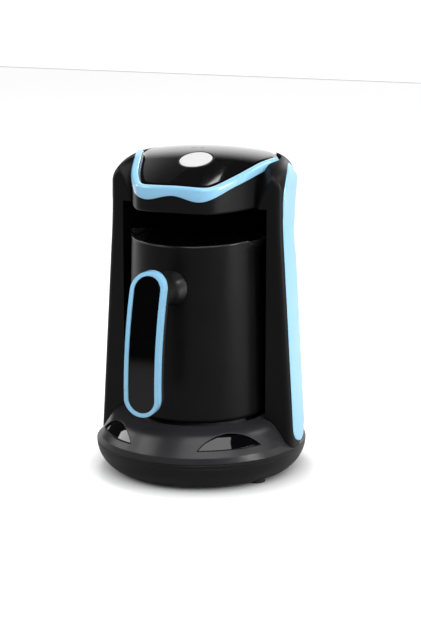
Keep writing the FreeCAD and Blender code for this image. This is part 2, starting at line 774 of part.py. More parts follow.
def power_board():
    y = power_board_y()
    half = POWER_WIDTH / 2
    board = box((-half, y, POWER_LOW), (half, y + BOARD_THICKNESS, POWER_LOW + POWER_HEIGHT))
    for x, z in board_posts():
        board = board.cut(Part.makeCylinder(SCREW_RADIUS + PLAY, 5, vec(x, y - 1, z), vec(0, 1, 0)))
    return board


def relay():
    y = power_board_y() + BOARD_THICKNESS
    return box((-9, y, POWER_LOW + 30), (9, y + 8, POWER_LOW + 45))


def terminal_block():
    y = power_board_y() + BOARD_THICKNESS
    block = box((-12, y, POWER_LOW + 8), (12, y + 7, POWER_LOW + 16))
    for index in range(4):
        x = -9 + 6 * index
        block = block.cut(Part.makeCylinder(1.6, 3, vec(x, y + 8, POWER_LOW + 12), vec(0, -1, 0)))
    return block


# Head

def wave(lift):
    """All that lies under the trim's wavy edge, which climbs towards the back."""
    swing = 0.12 * HEAD_HALF
    half = 1.25 * HEAD_HALF
    nose = -HEAD_FRONT - 4
    base = TRIM_LOW + lift - TRIM_RISE * 4
    shape_of_half = [(0, 0.72), (0.18, 0.45), (0.37, 0.12), (0.55, 0.28), (0.69, 0.36), (0.80, 0.28),
                     (0.95, 0), (half / HEAD_HALF, -0.1)]
    right = [(share * HEAD_HALF, base + climb * swing) for share, climb in shape_of_half]
    left = [(-x, z) for x, z in reversed(right[1:])]
    shape = wire((-half, base - 60), [
        line(*left[0]),
        curve(*(left[1:] + right)),
        line(half, base - 60),
    ], lambda x, z: vec(x, nose, z))
    length = 3 * HEAD_HALF
    return Part.Face(shape).extrude(vec(0, length, TRIM_RISE * length))


def front_half(y):
    return box((-200, -200, HEAD_BOTTOM - 5), (200, y, CROWN_TOP + 30))


def domed_column(grow, inset, fillet):
    """The head's column under the crown, with its upper edge rounded."""
    form = head_column(grow, HEAD_BOTTOM, CROWN_TOP + 20).common(crown(inset))
    rim = [edge for edge in form.Edges if edge.BoundBox.ZMax > HEAD_BOTTOM + 10 and edge.Length > 60]
    rim = [edge for edge in rim if edge.BoundBox.ZMin > HEAD_BOTTOM + 5]
    return form.makeFillet(fillet, rim)


def trim_space():
    """Room for the trim in the wings."""
    column = head_column(TRIM_PROUD + SEAM, HEAD_BOTTOM, CROWN_TOP + 20)
    return column.common(front_half(HEAD_SIDE_END + SEAM)).cut(wave(-SEAM))


def head_trim():
    band = wave(TRIM_HEIGHT).cut(wave(0)).common(front_half(HEAD_SIDE_END))
    ring = band.common(domed_column(TRIM_PROUD, -TRIM_CREST, TRIM_ROUND))
    return ring.cut(head_column(TRIM_PROUD - TRIM_DEPTH, HEAD_BOTTOM - 1, CROWN_TOP + 21))


def lid_form(inset):
    """The lid's outside at inset 0, and its hollow at its wall."""
    parts = []
    step = TRIM_DEPTH - TRIM_PROUD + SEAM
    for grow, front in ((-step - inset, True), (-SEAM - inset, False)):
        form = domed_column(grow, inset, LID_ROUND - inset * 0.9)
        region = front_half(HEAD_SIDE_END)
        if not front:
            region = box((-200, HEAD_SIDE_END + inset, HEAD_BOTTOM - 5), (200, 200, CROWN_TOP + 30))
        if front and inset:
            region = front_half(HEAD_SIDE_END + inset)
        parts.append(form.common(region))
    return parts[0].fuse(parts[1])


def button_frame(shape):
    """Places a piece drawn around the button's upright axis on the sloping lid."""
    height = crown_height(BUTTON_Y)
    shape.rotate(vec(0, 0, 0), vec(1, 0, 0), CROWN_SLOPE)
    shape.translate(vec(0, BUTTON_Y, height))
    return shape


def crown_height(y):
    slope = math.radians(CROWN_SLOPE)
    tangent_y = CROWN_CREST_Y - CROWN_BEND * math.sin(slope)
    tangent_z = CROWN_TOP - CROWN_BEND * (1 - math.cos(slope))
    if y < tangent_y:
        return tangent_z - (tangent_y - y) * math.tan(slope)
    return CROWN_TOP - CROWN_BEND + math.sqrt(CROWN_BEND ** 2 - (y - CROWN_CREST_Y) ** 2)


def control_posts():
    return [(x, y) for x in (-BOARD_LENGTH / 2 + 4, BOARD_LENGTH / 2 - 4)
            for y in (-BOARD_WIDTH / 2 + 4, BOARD_WIDTH / 2 - 4)]


def head_cover():
    lid = lid_form(0).cut(lid_form(LID_WALL))
    under = wave(LID_LAP).common(crown(LID_WALL))
    lid = lid.cut(under.common(front_half(HEAD_SIDE_END + LID_WALL)))
    rear = box((-200, HEAD_SIDE_END - 0.5, HEAD_BOTTOM - 5), (200, 200, CROWN_TOP))
    lid = lid.cut(rear.common(crown(LID_SKIRT - SEAM)))
    for x, y in control_posts():
        post = button_frame(cylinder(POST_RADIUS, -BOARD_DEPTH, 0, x, y))
        lid = lid.fuse(post.common(lid_form(LID_WALL / 2)))
        hole = cylinder(SCREW_RADIUS + THREAD, -BOARD_DEPTH - 1, -BOARD_DEPTH + 7, x, y)
        lid = lid.cut(button_frame(hole))
    hole = BUTTON_RADIUS + PLAY + BEZEL_WALL + SEAM / 2
    lid = lid.cut(button_frame(cylinder(hole, -6, 6)))
    return lid


def head_housing():
    outer = head_column(0, HEAD_BOTTOM, CROWN_TOP + 10)
    lower = [edge for edge in outer.Edges if edge.BoundBox.ZMax < HEAD_BOTTOM + 0.01]
    outer = outer.makeFillet(HEAD_HEEL, lower)
    walls = outer.cut(head_column(-WALL, HEAD_BOTTOM - 1, CROWN_TOP + 11))
    walls = walls.common(wave(-SEAM)).common(crown(LID_WALL + SEAM))
    rear = box((-200, HEAD_SIDE_END, HEAD_BOTTOM - 5), (200, 200, CROWN_TOP + 30))
    walls = walls.cut(rear.cut(crown(LID_SKIRT)))
    floor_top = HEAD_BOTTOM + HEAD_FLOOR_UP + HEAD_FLOOR
    for x, y in head_screw_places():
        boss = cylinder(4.2, floor_top, floor_top + 8, x, y)
        web = box((0, -1.5, floor_top), (14, 1.5, floor_top + 8))
        web.rotate(vec(0, 0, 0), UP, math.degrees(math.atan2(y, x)))
        web.translate(vec(x, y, 0))
        boss = boss.fuse(web).common(head_column(-WALL / 2, HEAD_BOTTOM, CROWN_TOP))
        walls = walls.fuse(boss)
        walls = walls.cut(cylinder(SCREW_RADIUS + THREAD, floor_top - 1, floor_top + 7, x, y))
    return walls


def head_screw_places():
    front = (0.52 * HEAD_HALF, -0.56 * HEAD_FRONT)
    back = (0.62 * HEAD_HALF, 0.56 * HEAD_FRONT)
    return [(side * x, y) for x, y in (front, back) for side in (-1, 1)]


def head_floor():
    low = HEAD_BOTTOM + HEAD_FLOOR_UP
    plate = head_column(-WALL - SEAM, low, low + HEAD_FLOOR)
    for x, y in head_screw_places():
        plate = plate.cut(cylinder(SCREW_RADIUS + PLAY, low - 1, low + 5, x, y))
    return plate.cut(cylinder(LENS_RADIUS + SEAM, low - 1, low + 5, 0, JUG_AXIS_Y))


def head_screws():
    low = HEAD_BOTTOM + HEAD_FLOOR_UP
    return [screw(vec(x, y, low), UP, HEAD_FLOOR + 7.0) for x, y in head_screw_places()]


def sensor_lens():
    low = HEAD_BOTTOM + HEAD_FLOOR_UP
    lens = rounded([
        (0, low - 1.0),
        (LENS_RADIUS, low - 1.0, 0.9),
        (LENS_RADIUS, low + HEAD_FLOOR),
        (LENS_RADIUS + 1.5, low + HEAD_FLOOR),
        (LENS_RADIUS + 1.5, low + HEAD_FLOOR + 1.0),
        (0, low + HEAD_FLOOR + 1.0),
    ], section(JUG_AXIS_Y))
    return turned(lens, JUG_AXIS_Y)


def foam_sensor():
    low = HEAD_BOTTOM + HEAD_FLOOR_UP + HEAD_FLOOR + 1.0
    y = JUG_AXIS_Y
    board = box((-8, y - 6, low), (8, y + 6, low + 1.2))
    return board.fuse(cylinder(2.5, low + 1.2, low + 3.4, 0, y))


# Button

def button_cap():
    top = BUTTON_PROUD
    under = top - BUTTON_THICKNESS
    floor = -BEZEL_DEPTH
    clip = floor - PLAY
    outline = rounded([
        (0, top),
        (BUTTON_RADIUS, top, 0.8),
        (BUTTON_RADIUS, under),
        (STEM_RADIUS, under),
        (STEM_RADIUS, clip),
        (STEM_RADIUS + 1.0, clip),
        (STEM_RADIUS + 0.2, clip - 1.4),
        (0, clip - 1.4),
    ], section())
    return button_frame(turned(outline))


def button_bezel():
    bore = BUTTON_RADIUS + PLAY
    outer = bore + BEZEL_WALL
    floor = -BEZEL_DEPTH
    outline = rounded([
        (bore, BUTTON_PROUD - 0.2, 0.3),
        (outer, BUTTON_PROUD - 0.2, 0.3),
        (outer, floor),
        (STEM_RADIUS + PLAY, floor),
        (STEM_RADIUS + PLAY, floor + 1.5),
        (bore, floor + 1.5),
    ], section())
    return button_frame(turned(outline))


def button_spring():
    low = -BEZEL_DEPTH + 1.5 + SPRING_WIRE
    high = BUTTON_PROUD - BUTTON_THICKNESS - SPRING_WIRE
    turns = 3
    coil = Part.makeHelix((high - low) / turns, high - low, SPRING_RADIUS)
    section_wire = Part.Wire([Part.makeCircle(SPRING_WIRE, vec(SPRING_RADIUS, 0, 0), vec(0, 1, 0))])
    spring = Part.Wire(coil.Edges).makePipeShell([section_wire], True, True)
    spring.translate(vec(0, 0, low))
    return button_frame(spring)


def control_board():
    half = BOARD_LENGTH / 2
    wide = BOARD_WIDTH / 2
    board = box((-half, -wide, -BOARD_DEPTH - BOARD_THICKNESS), (half, wide, -BOARD_DEPTH))
    for x, y in control_posts():
        board = board.cut(cylinder(SCREW_RADIUS + PLAY, -BOARD_DEPTH - 5, -BOARD_DEPTH + 1, x, y))
    return button_frame(board)


def tact_switch():
    body = box((-3, -3, -BOARD_DEPTH), (3, 3, -BOARD_DEPTH + 3.5))
    plunger_top = -BEZEL_DEPTH - PLAY - 1.4 - BUTTON_TRAVEL - 0.1
    return button_frame(body.fuse(cylinder(1.7, -BOARD_DEPTH + 3.5, plunger_top)))


def buzzer():
    x = 0.3 * BOARD_LENGTH
    body = cylinder(6.0, -BOARD_DEPTH, -BOARD_DEPTH + 5.0, x, 0)
    return button_frame(body.cut(cylinder(1.0, -BOARD_DEPTH + 4.0, -BOARD_DEPTH + 6.0, x, 0)))


def status_led():
    x = -0.3 * BOARD_LENGTH
    return button_frame(cylinder(1.5, -BOARD_DEPTH, -BOARD_DEPTH + 4.5, x, 0).fuse(
        Part.makeSphere(1.5, vec(x, 0, -BOARD_DEPTH + 4.5))))


def board_screws():
    screws = []
    for x, y in control_posts():
        screws.append(button_frame(screw(vec(x, y, -BOARD_DEPTH - BOARD_THICKNESS), UP, 8.0)))
    for x, z in board_posts():
        seat = vec(x, power_board_y() + BOARD_THICKNESS, z)
        screws.append(screw(seat, vec(0, -1, 0), BOARD_THICKNESS + 5.0))
    return screws


# Jug and handle

def jug_form(inset):
    """The jug's round body; its hollow is the same form, one wall in."""
    high = JUG_RIM + 2 * SPOUT_DEPTH
    lean = (JUG_LOW_RADIUS - JUG_RIM_RADIUS) / (JUG_RIM - JUG_BOTTOM)
    body = turned(rounded([
        (0, JUG_BOTTOM + inset),
        (JUG_LOW_RADIUS - inset, JUG_BOTTOM + inset, JUG_HEEL - inset),
        (JUG_RIM_RADIUS - lean * (high - JUG_RIM) - inset, high),
        (0, high),
    ], section(JUG_AXIS_Y)), JUG_AXIS_Y)
    for side in (-1, 1):
        sections = []
        for share in (0.0, 0.35, 0.7, 1.0, 1.25):
            z = JUG_RIM - SPOUT_DEPTH * (1 - share)
            radius = JUG_RIM_RADIUS + lean * (JUG_RIM - z) - inset - 0.05
            tip = radius + SPOUT_REACH * share ** 1.6
            spread = math.radians(SPOUT_SPREAD)
            foot_x = radius * math.cos(spread)
            foot_y = radius * math.sin(spread)
            points = [(0.5 * radius, -0.3 * foot_y), (foot_x, -foot_y), (tip, 0, 3.0),
                      (foot_x, foot_y), (0.5 * radius, 0.3 * foot_y)]
            sections.append(rounded(points, lambda x, y, z=z: vec(side * x, JUG_AXIS_Y + y, z)))
        body = body.fuse(Part.makeLoft(sections, True, False))
    return body


def jug_body():
    jug = jug_form(0).cut(jug_form(JUG_WALL))
    half = JUG_LOW_RADIUS + SPOUT_REACH
    cut = wire((-half, JUG_RIM + RIM_SWEEP), [
        arc((0, JUG_RIM), (half, JUG_RIM + RIM_SWEEP)),
        line(half, JUG_RIM + 4 * SPOUT_DEPTH),
        line(-half, JUG_RIM + 4 * SPOUT_DEPTH),
    ], lambda x, z: vec(x, -2 * BASE_RADIUS, z))
    jug = jug.cut(Part.Face(cut).extrude(vec(0, 4 * BASE_RADIUS, 0)))
    tip = jug_front() + STUD_LENGTH
    stud = Part.makeCylinder(STUD_RADIUS, tip - 20, vec(0, -20, BOSS_Z), vec(0, -1, 0))
    jug = jug.fuse(stud.cut(jug_form(JUG_WALL / 2)))
    hole = Part.makeCylinder(HANDLE_SCREW_RADIUS + THREAD, STUD_LENGTH + 2,
                             vec(0, -jug_front() - STUD_LENGTH - 1, BOSS_Z), vec(0, 1, 0))
    return jug.cut(hole.cut(jug_form(0)))


def jug_front():
    """How far the jug's wall reaches to the front at the handle's boss."""
    lean = (JUG_LOW_RADIUS - JUG_RIM_RADIUS) / (JUG_RIM - JUG_BOTTOM)
    return JUG_RIM_RADIUS + lean * (JUG_RIM - BOSS_Z) - JUG_AXIS_Y


def grip_slab(front, back):
    """The layer between two depths behind the bowed front face."""
    base = vec(-50, GRIP_BOW - GRIP_REACH, GRIP_BOW_Z)
    outer = Part.makeCylinder(GRIP_BOW - front, 100, base, vec(1, 0, 0))
    inner = Part.makeCylinder(GRIP_BOW - back, 100, base, vec(1, 0, 0))
    ahead = box((-50, -2 * GRIP_REACH, GRIP_BOTTOM - 20), (50, 0, GRIP_TOP + 20))
    return outer.cut(inner).common(ahead)


def grip_column(grow):
    half = GRIP_WIDTH / 2 + grow
    low = GRIP_BOTTOM - grow
    high = GRIP_TOP + grow
    shape = wire((-half, low + half), [
        arc((0, low), (half, low + half)),
        line(half, high - half),
        arc((0, high), (-half, high - half)),
    ], lambda x, z: vec(x, -GRIP_REACH - 20, z))
    return Part.Face(shape).extrude(vec(0, GRIP_REACH, 0))


def handle_ring():
    ring = grip_column(0).cut(grip_column(-GRIP_RING))
    return ring.common(grip_slab(0, GRIP_RING_DEPTH))


def handle_inlay():
    slab = grip_slab(GRIP_INLAY_SUNK, GRIP_INLAY_SUNK + GRIP_INLAY_DEPTH)
    return slab.common(grip_column(-GRIP_RING - GLUE))


def grip_front(z, depth):
    """The y of the layer at a depth behind the grip's front face, at height z."""
    radius = GRIP_BOW - depth
    return GRIP_BOW - GRIP_REACH - math.sqrt(radius * radius - (z - GRIP_BOW_Z) ** 2)


def on_grip_back(edge, depth):
    at = edge.valueAt((edge.FirstParameter + edge.LastParameter) / 2)
    ends = [at] + [vertex.Point for vertex in edge.Vertexes]
    return all(abs(point.y - grip_front(point.z, depth)) < 0.01 for point in ends)


def handle_core():
    inlay_back = GRIP_INLAY_SUNK + GRIP_INLAY_DEPTH + GLUE
    tongue = grip_slab(inlay_back, GRIP_RING_DEPTH + 0.5).common(grip_column(-GRIP_RING - GLUE))
    back = GRIP_RING_DEPTH + GRIP_CORE_DEPTH
    body = grip_slab(GRIP_RING_DEPTH + GLUE, back).common(grip_column(-0.6))
    rear = [edge for edge in body.Edges if on_grip_back(edge, back)]
    body = body.makeFillet(GRIP_ROUND, rear)
    start = grip_front(BOSS_Z, back - 2)
    wall = -jug_front()
    outline = rounded([
        (0, start), (BOSS_RADIUS, start), (BOSS_RADIUS, wall - 8, 14.0),
        (BOSS_FLARE, wall - 0.5), (BOSS_FLARE, wall + 5), (0, wall + 5),
    ], lambda r, y: vec(r, y, BOSS_Z))
    boss = Part.Face(outline).revolve(vec(0, 0, BOSS_Z), vec(0, 1, 0), 360)
    core = body.fuse(tongue).fuse(boss.cut(jug_form(-SEAM)))
    back_dir = vec(0, 1, 0)
    seat = handle_screw_seat()
    head_room = Part.makeCylinder(SCREW_HEAD + 1.3, 10.0, vec(0, seat - 10, BOSS_Z), back_dir)
    core = core.cut(head_room)
    core = core.cut(Part.makeCylinder(HANDLE_SCREW_RADIUS + PLAY, 60, vec(0, seat - 1, BOSS_Z), back_dir))
    socket = Part.makeCylinder(STUD_RADIUS + 0.05, 30, vec(0, wall - STUD_LENGTH - SEAM, BOSS_Z), back_dir)
    return core.cut(socket)


def handle_screw_seat():
    return grip_front(BOSS_Z, GRIP_INLAY_SUNK + GRIP_INLAY_DEPTH) + SCREW_HEAD_HEIGHT + 1.4


def handle_screw():
    seat = handle_screw_seat()
    end = -jug_front() - 2.0
    inwards = vec(0, 1, 0)
    top = vec(0, seat - SCREW_HEAD_HEIGHT, BOSS_Z)
    head = Part.makeCylinder(SCREW_HEAD + 1.0, SCREW_HEAD_HEIGHT, top, inwards)
    return head.fuse(Part.makeCylinder(HANDLE_SCREW_RADIUS, end - seat, vec(0, seat, BOSS_Z), inwards))


def pieces():
    """Every named piece of the machine, as a list of solids."""
    found = {
        "base_tray": base_tray(),
        "base_screws": base_screws(),
        "base_deck": base_deck(),
        "deck_window_left": window(-1),
        "deck_window_right": window(1),
        "plate_seal": plate_seal(),
        "hot_plate": hot_plate(),
        "heater_ring": heater_ring(),
        "thermostat": thermostat(),
        "heat_shield": heat_shield(),
        "tower_shell": tower_shell(),
        "rear_cover": rear_cover(),
        "cover_screws": cover_screws(),
        "cord_gland": cord_gland(),
        "power_board": power_board(),
        "relay": relay(),
        "terminal_block": terminal_block(),
        "side_strip_right": side_strip(),
        "side_strip_left": mirrored(side_strip()),
        "head_housing": head_housing(),
        "head_floor": head_floor(),
        "head_screws": head_screws(),
        "sensor_lens": sensor_lens(),
        "foam_sensor": foam_sensor(),
        "head_trim": head_trim(),
        "head_cover": head_cover(),
        "button_bezel": button_bezel(),
        "button_cap": button_cap(),
        "button_spring": button_spring(),
        "control_board": control_board(),
        "tact_switch": tact_switch(),
        "buzzer": buzzer(),
        "status_led": status_led(),
        "board_screws": board_screws(),
        "jug_body": jug_body(),
        "handle_core": handle_core(),
        "handle_ring": handle_ring(),
        "handle_inlay": handle_inlay(),
        "handle_screw": handle_screw(),
    }
    names = ("front_left", "rear_left", "front_right", "rear_right")
    for name, (x, y) in zip(names, foot_places()):
        found["foot_" + name] = foot(x, y)
    return found


def solids_of(shape):
    parts = shape if isinstance(shape, list) else [shape]
    return [solid for part in parts for solid in part.Solids]


def write(found):
    """Moves the origin under the middle of the box and writes one file for each piece."""
    os.makedirs("parts", exist_ok=True)
    solids = {name: solids_of(shape) for name, shape in found.items()}
    whole = Part.makeCompound([solid for group in solids.values() for solid in group])
    bounds = whole.optimalBoundingBox(True, False)
    middle = -(bounds.YMin + bounds.YMax) / 2
    for name, group in solids.items():
        shape = group[0] if len(group) == 1 else Part.makeCompound(group)
        shape.translate(vec(0, middle, 0))
        shape.exportStep("parts/" + name + ".step")
        print(name, len(group), "solids, volume", round(shape.Volume), "valid", shape.isValid())
    print("moved by", round(middle, 4), "box", [round(v, 2) for v in (
        bounds.XMin, bounds.XMax, bounds.YMin, bounds.YMax, bounds.ZMin, bounds.ZMax)])


write(pieces())
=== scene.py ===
import math

import bpy
from mathutils import Matrix, Vector
from mathutils.bvhtree import BVHTree


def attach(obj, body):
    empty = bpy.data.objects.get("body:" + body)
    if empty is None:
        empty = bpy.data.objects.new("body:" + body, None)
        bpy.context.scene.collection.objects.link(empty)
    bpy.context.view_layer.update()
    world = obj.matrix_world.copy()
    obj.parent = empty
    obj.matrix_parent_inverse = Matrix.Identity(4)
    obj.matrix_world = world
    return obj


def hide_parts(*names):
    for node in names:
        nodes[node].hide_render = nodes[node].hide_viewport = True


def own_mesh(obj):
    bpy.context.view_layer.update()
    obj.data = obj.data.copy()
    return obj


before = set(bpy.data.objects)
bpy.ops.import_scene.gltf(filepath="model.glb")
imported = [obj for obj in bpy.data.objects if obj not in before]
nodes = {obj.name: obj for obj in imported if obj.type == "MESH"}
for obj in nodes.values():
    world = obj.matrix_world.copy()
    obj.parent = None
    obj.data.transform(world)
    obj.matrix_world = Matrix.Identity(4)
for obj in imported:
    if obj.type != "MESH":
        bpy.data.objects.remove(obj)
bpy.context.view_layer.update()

print("frame loaded,", len(nodes), "pieces")

axisY = 0.01545  # the machine's own upright axis, seen from the frame's origin
jugY = axisY - 0.0089  # and the jug's


# materials are put together with this

class Finish:  # one material being built, with short ways to add what it needs

    def __init__(self, name, shader="BsdfPrincipled"):
        self.mat = bpy.data.materials.new(name)
        self.mat.use_nodes = True
        self.tree = self.mat.node_tree
        self.tree.nodes.clear()
        self.out = self.add("OutputMaterial")
        self.shader = self.add(shader)
        self.join(self.shader.outputs["BSDF"], self.out.inputs["Surface"])
        self.place = self.add("TexCoord").outputs["Object"]

    def add(self, kind):
        return self.tree.nodes.new("ShaderNode" + kind)

    def join(self, source, target):
        self.tree.links.new(source, target)

    def sum(self, operation, first, second=None):
        step = self.add("Math")
        step.operation = operation
        for socket, value in zip(step.inputs, (first, second)):
            if isinstance(value, (int, float)):
                socket.default_value = value
            elif value is not None:
                self.join(value, socket)
        return step.outputs[0]

    def noise(self, size, detail=3.0, stretch=(1, 1, 1)):  # size is that of one blotch, in metres
        scale = self.add("Mapping")
        scale.inputs["Scale"].default_value = [share / size for share in stretch]
        pattern = self.add("TexNoise")
        pattern.inputs["Scale"].default_value = 1.0
        pattern.inputs["Detail"].default_value = detail
        self.join(self.place, scale.inputs["Vector"])
        self.join(scale.outputs["Vector"], pattern.inputs["Vector"])
        return pattern.outputs["Fac"]

    def between(self, amount, low, high, start=0.3, end=0.7):
        step = self.add("MapRange")
        for name, value in (("From Min", start), ("From Max", end), ("To Min", low), ("To Max", high)):
            step.inputs[name].default_value = value
        self.join(amount, step.inputs["Value"])
        return step.outputs["Result"]

    def mix(self, amount, first, second):
        step = self.add("Mix")
        step.data_type = "RGBA"
        for socket, value in ((step.inputs[6], first), (step.inputs[7], second)):
            if isinstance(value, (tuple, list)):
                socket.default_value = (*value[:3], 1)
            else:
                self.join(value, socket)
        self.join(amount, step.inputs[0])
        return step.outputs[2]

    def bump(self, height, depth, below=None):
        step = self.add("Bump")
        step.inputs["Strength"].default_value = 1.0
        step.inputs["Distance"].default_value = depth
        self.join(height, step.inputs["Height"])
        if below is not None:
            self.join(below, step.inputs["Normal"])
        return step.outputs["Normal"]

    def softEdge(self, radius):
        step = self.add("Bevel")
        step.samples = 4  # enough at these radii
        step.inputs["Radius"].default_value = radius
        return step.outputs["Normal"]

    def fromAxis(self, y):  # distance from the upright line at y
        parts = self.add("SeparateXYZ")
        self.join(self.place, parts.inputs[0])
        deep = self.sum("SUBTRACT", parts.outputs["Y"], y)
        squares = self.sum("ADD", self.sum("MULTIPLY", parts.outputs["X"], parts.outputs["X"]),
                           self.sum("MULTIPLY", deep, deep))
        return self.sum("SQRT", squares)

    def set(self, **values):
        for name, value in values.items():
            self.shader.inputs[name.replace("_", " ")].default_value = value


# camera and studio

view = {
    "place": (0.4912, -1.1828, 0.3950),
    "aim": (0.0052, 0.0176, 0.1048),
    "lens": 110.37,
    "sensor": 36,
    "clip": (0.05, 30),
}

studio = {
    "floorHalf": 6.0,
    "floorColour": (0.40, 0.40, 0.405, 1),
    "floorGlow": (0.93, 0.85),  # as the camera sees it, and as gloss and metal do
    "floorFade": (-0.10, 0.30),  # gloss sees the floor brighten between these two Y
    "shadeReach": 0.026,  # how far from the machine its shadow dims the floor's glow
    "shadeSamples": 12,
    "shadePower": 1.3,
    "wallY": 2.6,
    "wallHalf": 2.0,
    "wallHeight": 2.80,
    "wallGlow": (1.0, 0.95),
    "wallFade": (2.75, 1.20),  # gloss sees the wall brighten downwards between these heights
    "room": 0.02,  # what the open room lends to the surfaces
}

hiddenFromGloss = ["softOver"]  # lamps that light a surface but aren't mirrored in it

lamps = [  # name, place, aim, width, height, watts
    ("softFront", (-0.90, -0.72, 0.85), (0, 0, 0.05), 0.45, 0.50, 4),
    ("softLeft", (-1.20, -0.10, 0.54), (0, 0, 0.08), 0.50, 0.42, 3.0),
    ("softRight", (1.30, -0.04, 0.40), (0, 0, 0.12), 0.40, 0.60, 9.5),
    ("softKey", (0.55, -0.85, 1.25), (0, 0, 0.06), 1.70, 1.50, 23),
    ("softRear", (0.94, 0.61, 0.96), (0, 0, 0.12), 0.30, 0.30, 2.2),
    ("softBack", (0.16, 1.80, 0.84), (0, 0, 0.20), 0.34, 0.34, 2.6),
    ("softOver", (-0.50, 0.66, 1.40), (0, 0, 0.12), 0.45, 0.45, 13),
    ("smallPatch", (-0.465, 0.98, 1.343), (0.02, -0.035, 0.206), 0.070, 0.026, 0.013),
]


def plane(name, corners):
    mesh = bpy.data.meshes.new(name)
    mesh.from_pydata(corners, [], [(0, 1, 2, 3)])
    thing = bpy.data.objects.new(name, mesh)
    bpy.context.collection.objects.link(thing)
    return thing


def aimed(place, aim):
    return (Vector(aim) - Vector(place)).to_track_quat("-Z", "Y").to_euler()


def paleFinish(name, glow, axis, fade, shade):
    finish = Finish(name, "BsdfDiffuse")
    finish.set(Color=studio["floorColour"])
    parts = finish.add("SeparateXYZ")
    finish.join(finish.place, parts.inputs[0])
    ramp = finish.add("MapRange")
    ramp.interpolation_type = "SMOOTHSTEP"
    ramp.inputs["From Min"].default_value, ramp.inputs["From Max"].default_value = fade
    finish.join(parts.outputs[axis], ramp.inputs["Value"])
    path = finish.add("LightPath").outputs
    clearRays = finish.sum("MAXIMUM", path["Is Camera Ray"], path["Is Transmission Ray"])
    direct = finish.sum("MULTIPLY", clearRays, glow[0])
    faded = finish.sum("MULTIPLY", ramp.outputs["Result"], glow[1])
    mirrored = finish.sum("MULTIPLY", path["Is Glossy Ray"], faded)
    strength = finish.sum("MAXIMUM", direct, mirrored)
    if shade:  # the glow fades under the machine, which keeps its shadow on the floor
        openSky = finish.add("AmbientOcclusion")
        openSky.samples = studio["shadeSamples"]
        openSky.inputs["Distance"].default_value = shade
        dimming = finish.sum("POWER", openSky.outputs["AO"], studio["shadePower"])
        strength = finish.sum("MULTIPLY", dimming, strength)
    lit, both = finish.add("Emission"), finish.add("AddShader")
    finish.join(strength, lit.inputs["Strength"])
    finish.join(finish.shader.outputs["BSDF"], both.inputs[0])
    finish.join(lit.outputs[0], both.inputs[1])
    finish.join(both.outputs[0], finish.out.inputs["Surface"])
    return finish.mat


def makeStudio():
    half = studio["floorHalf"]
    floor = plane("studioFloor", [(-half, -half, 0), (half, -half, 0), (half, half, 0), (-half, half, 0)])
    floor.data.materials.append(paleFinish("paleFloor", studio["floorGlow"], "Y",
                                           studio["floorFade"], studio["shadeReach"]))
    half, y, top = studio["wallHalf"], studio["wallY"], studio["wallHeight"]
    wall = plane("studioWall", [(-half, y, 0), (half, y, 0), (half, y, top), (-half, y, top)])
    wall.data.materials.append(paleFinish("paleWall", studio["wallGlow"], "Z", studio["wallFade"], 0))

    world = bpy.data.worlds.new("room")
    world.use_nodes = True
    tree = world.node_tree
    back = tree.nodes["Background"]
    path = tree.nodes.new("ShaderNodeLightPath")
    reach = tree.nodes.new("ShaderNodeMapRange")
    reach.inputs["To Min"].default_value = studio["room"]
    reach.inputs["To Max"].default_value = 1.0
    tree.links.new(path.outputs["Is Camera Ray"], reach.inputs["Value"])
    tree.links.new(reach.outputs["Result"], back.inputs["Strength"])
    back.inputs["Color"].default_value = (1, 1, 1, 1)
    bpy.context.scene.world = world

    for name, place, aim, width, height, watts in lamps:
        light = bpy.data.lights.new(name, "AREA")
        light.shape = "RECTANGLE"
        light.size, light.size_y, light.energy = width, height, watts
        lamp = bpy.data.objects.new(name, light)
        lamp.location = place
        lamp.rotation_euler = aimed(place, aim)
        lamp.visible_glossy = name not in hiddenFromGloss
        bpy.context.collection.objects.link(lamp)


def makeCamera():
    lens = bpy.data.cameras.new("shot")
    lens.sensor_width = view["sensor"]
    lens.lens = view["lens"]
    lens.clip_start, lens.clip_end = view["clip"]
    shot = bpy.data.objects.new("shot", lens)
    shot.location = view["place"]
    shot.rotation_euler = aimed(view["place"], view["aim"])
    bpy.context.collection.objects.link(shot)
    bpy.context.scene.camera = shot


makeCamera()
makeStudio()
bpy.context.scene.view_settings.view_transform = "Standard"
print("camera and studio ready")


# finishes

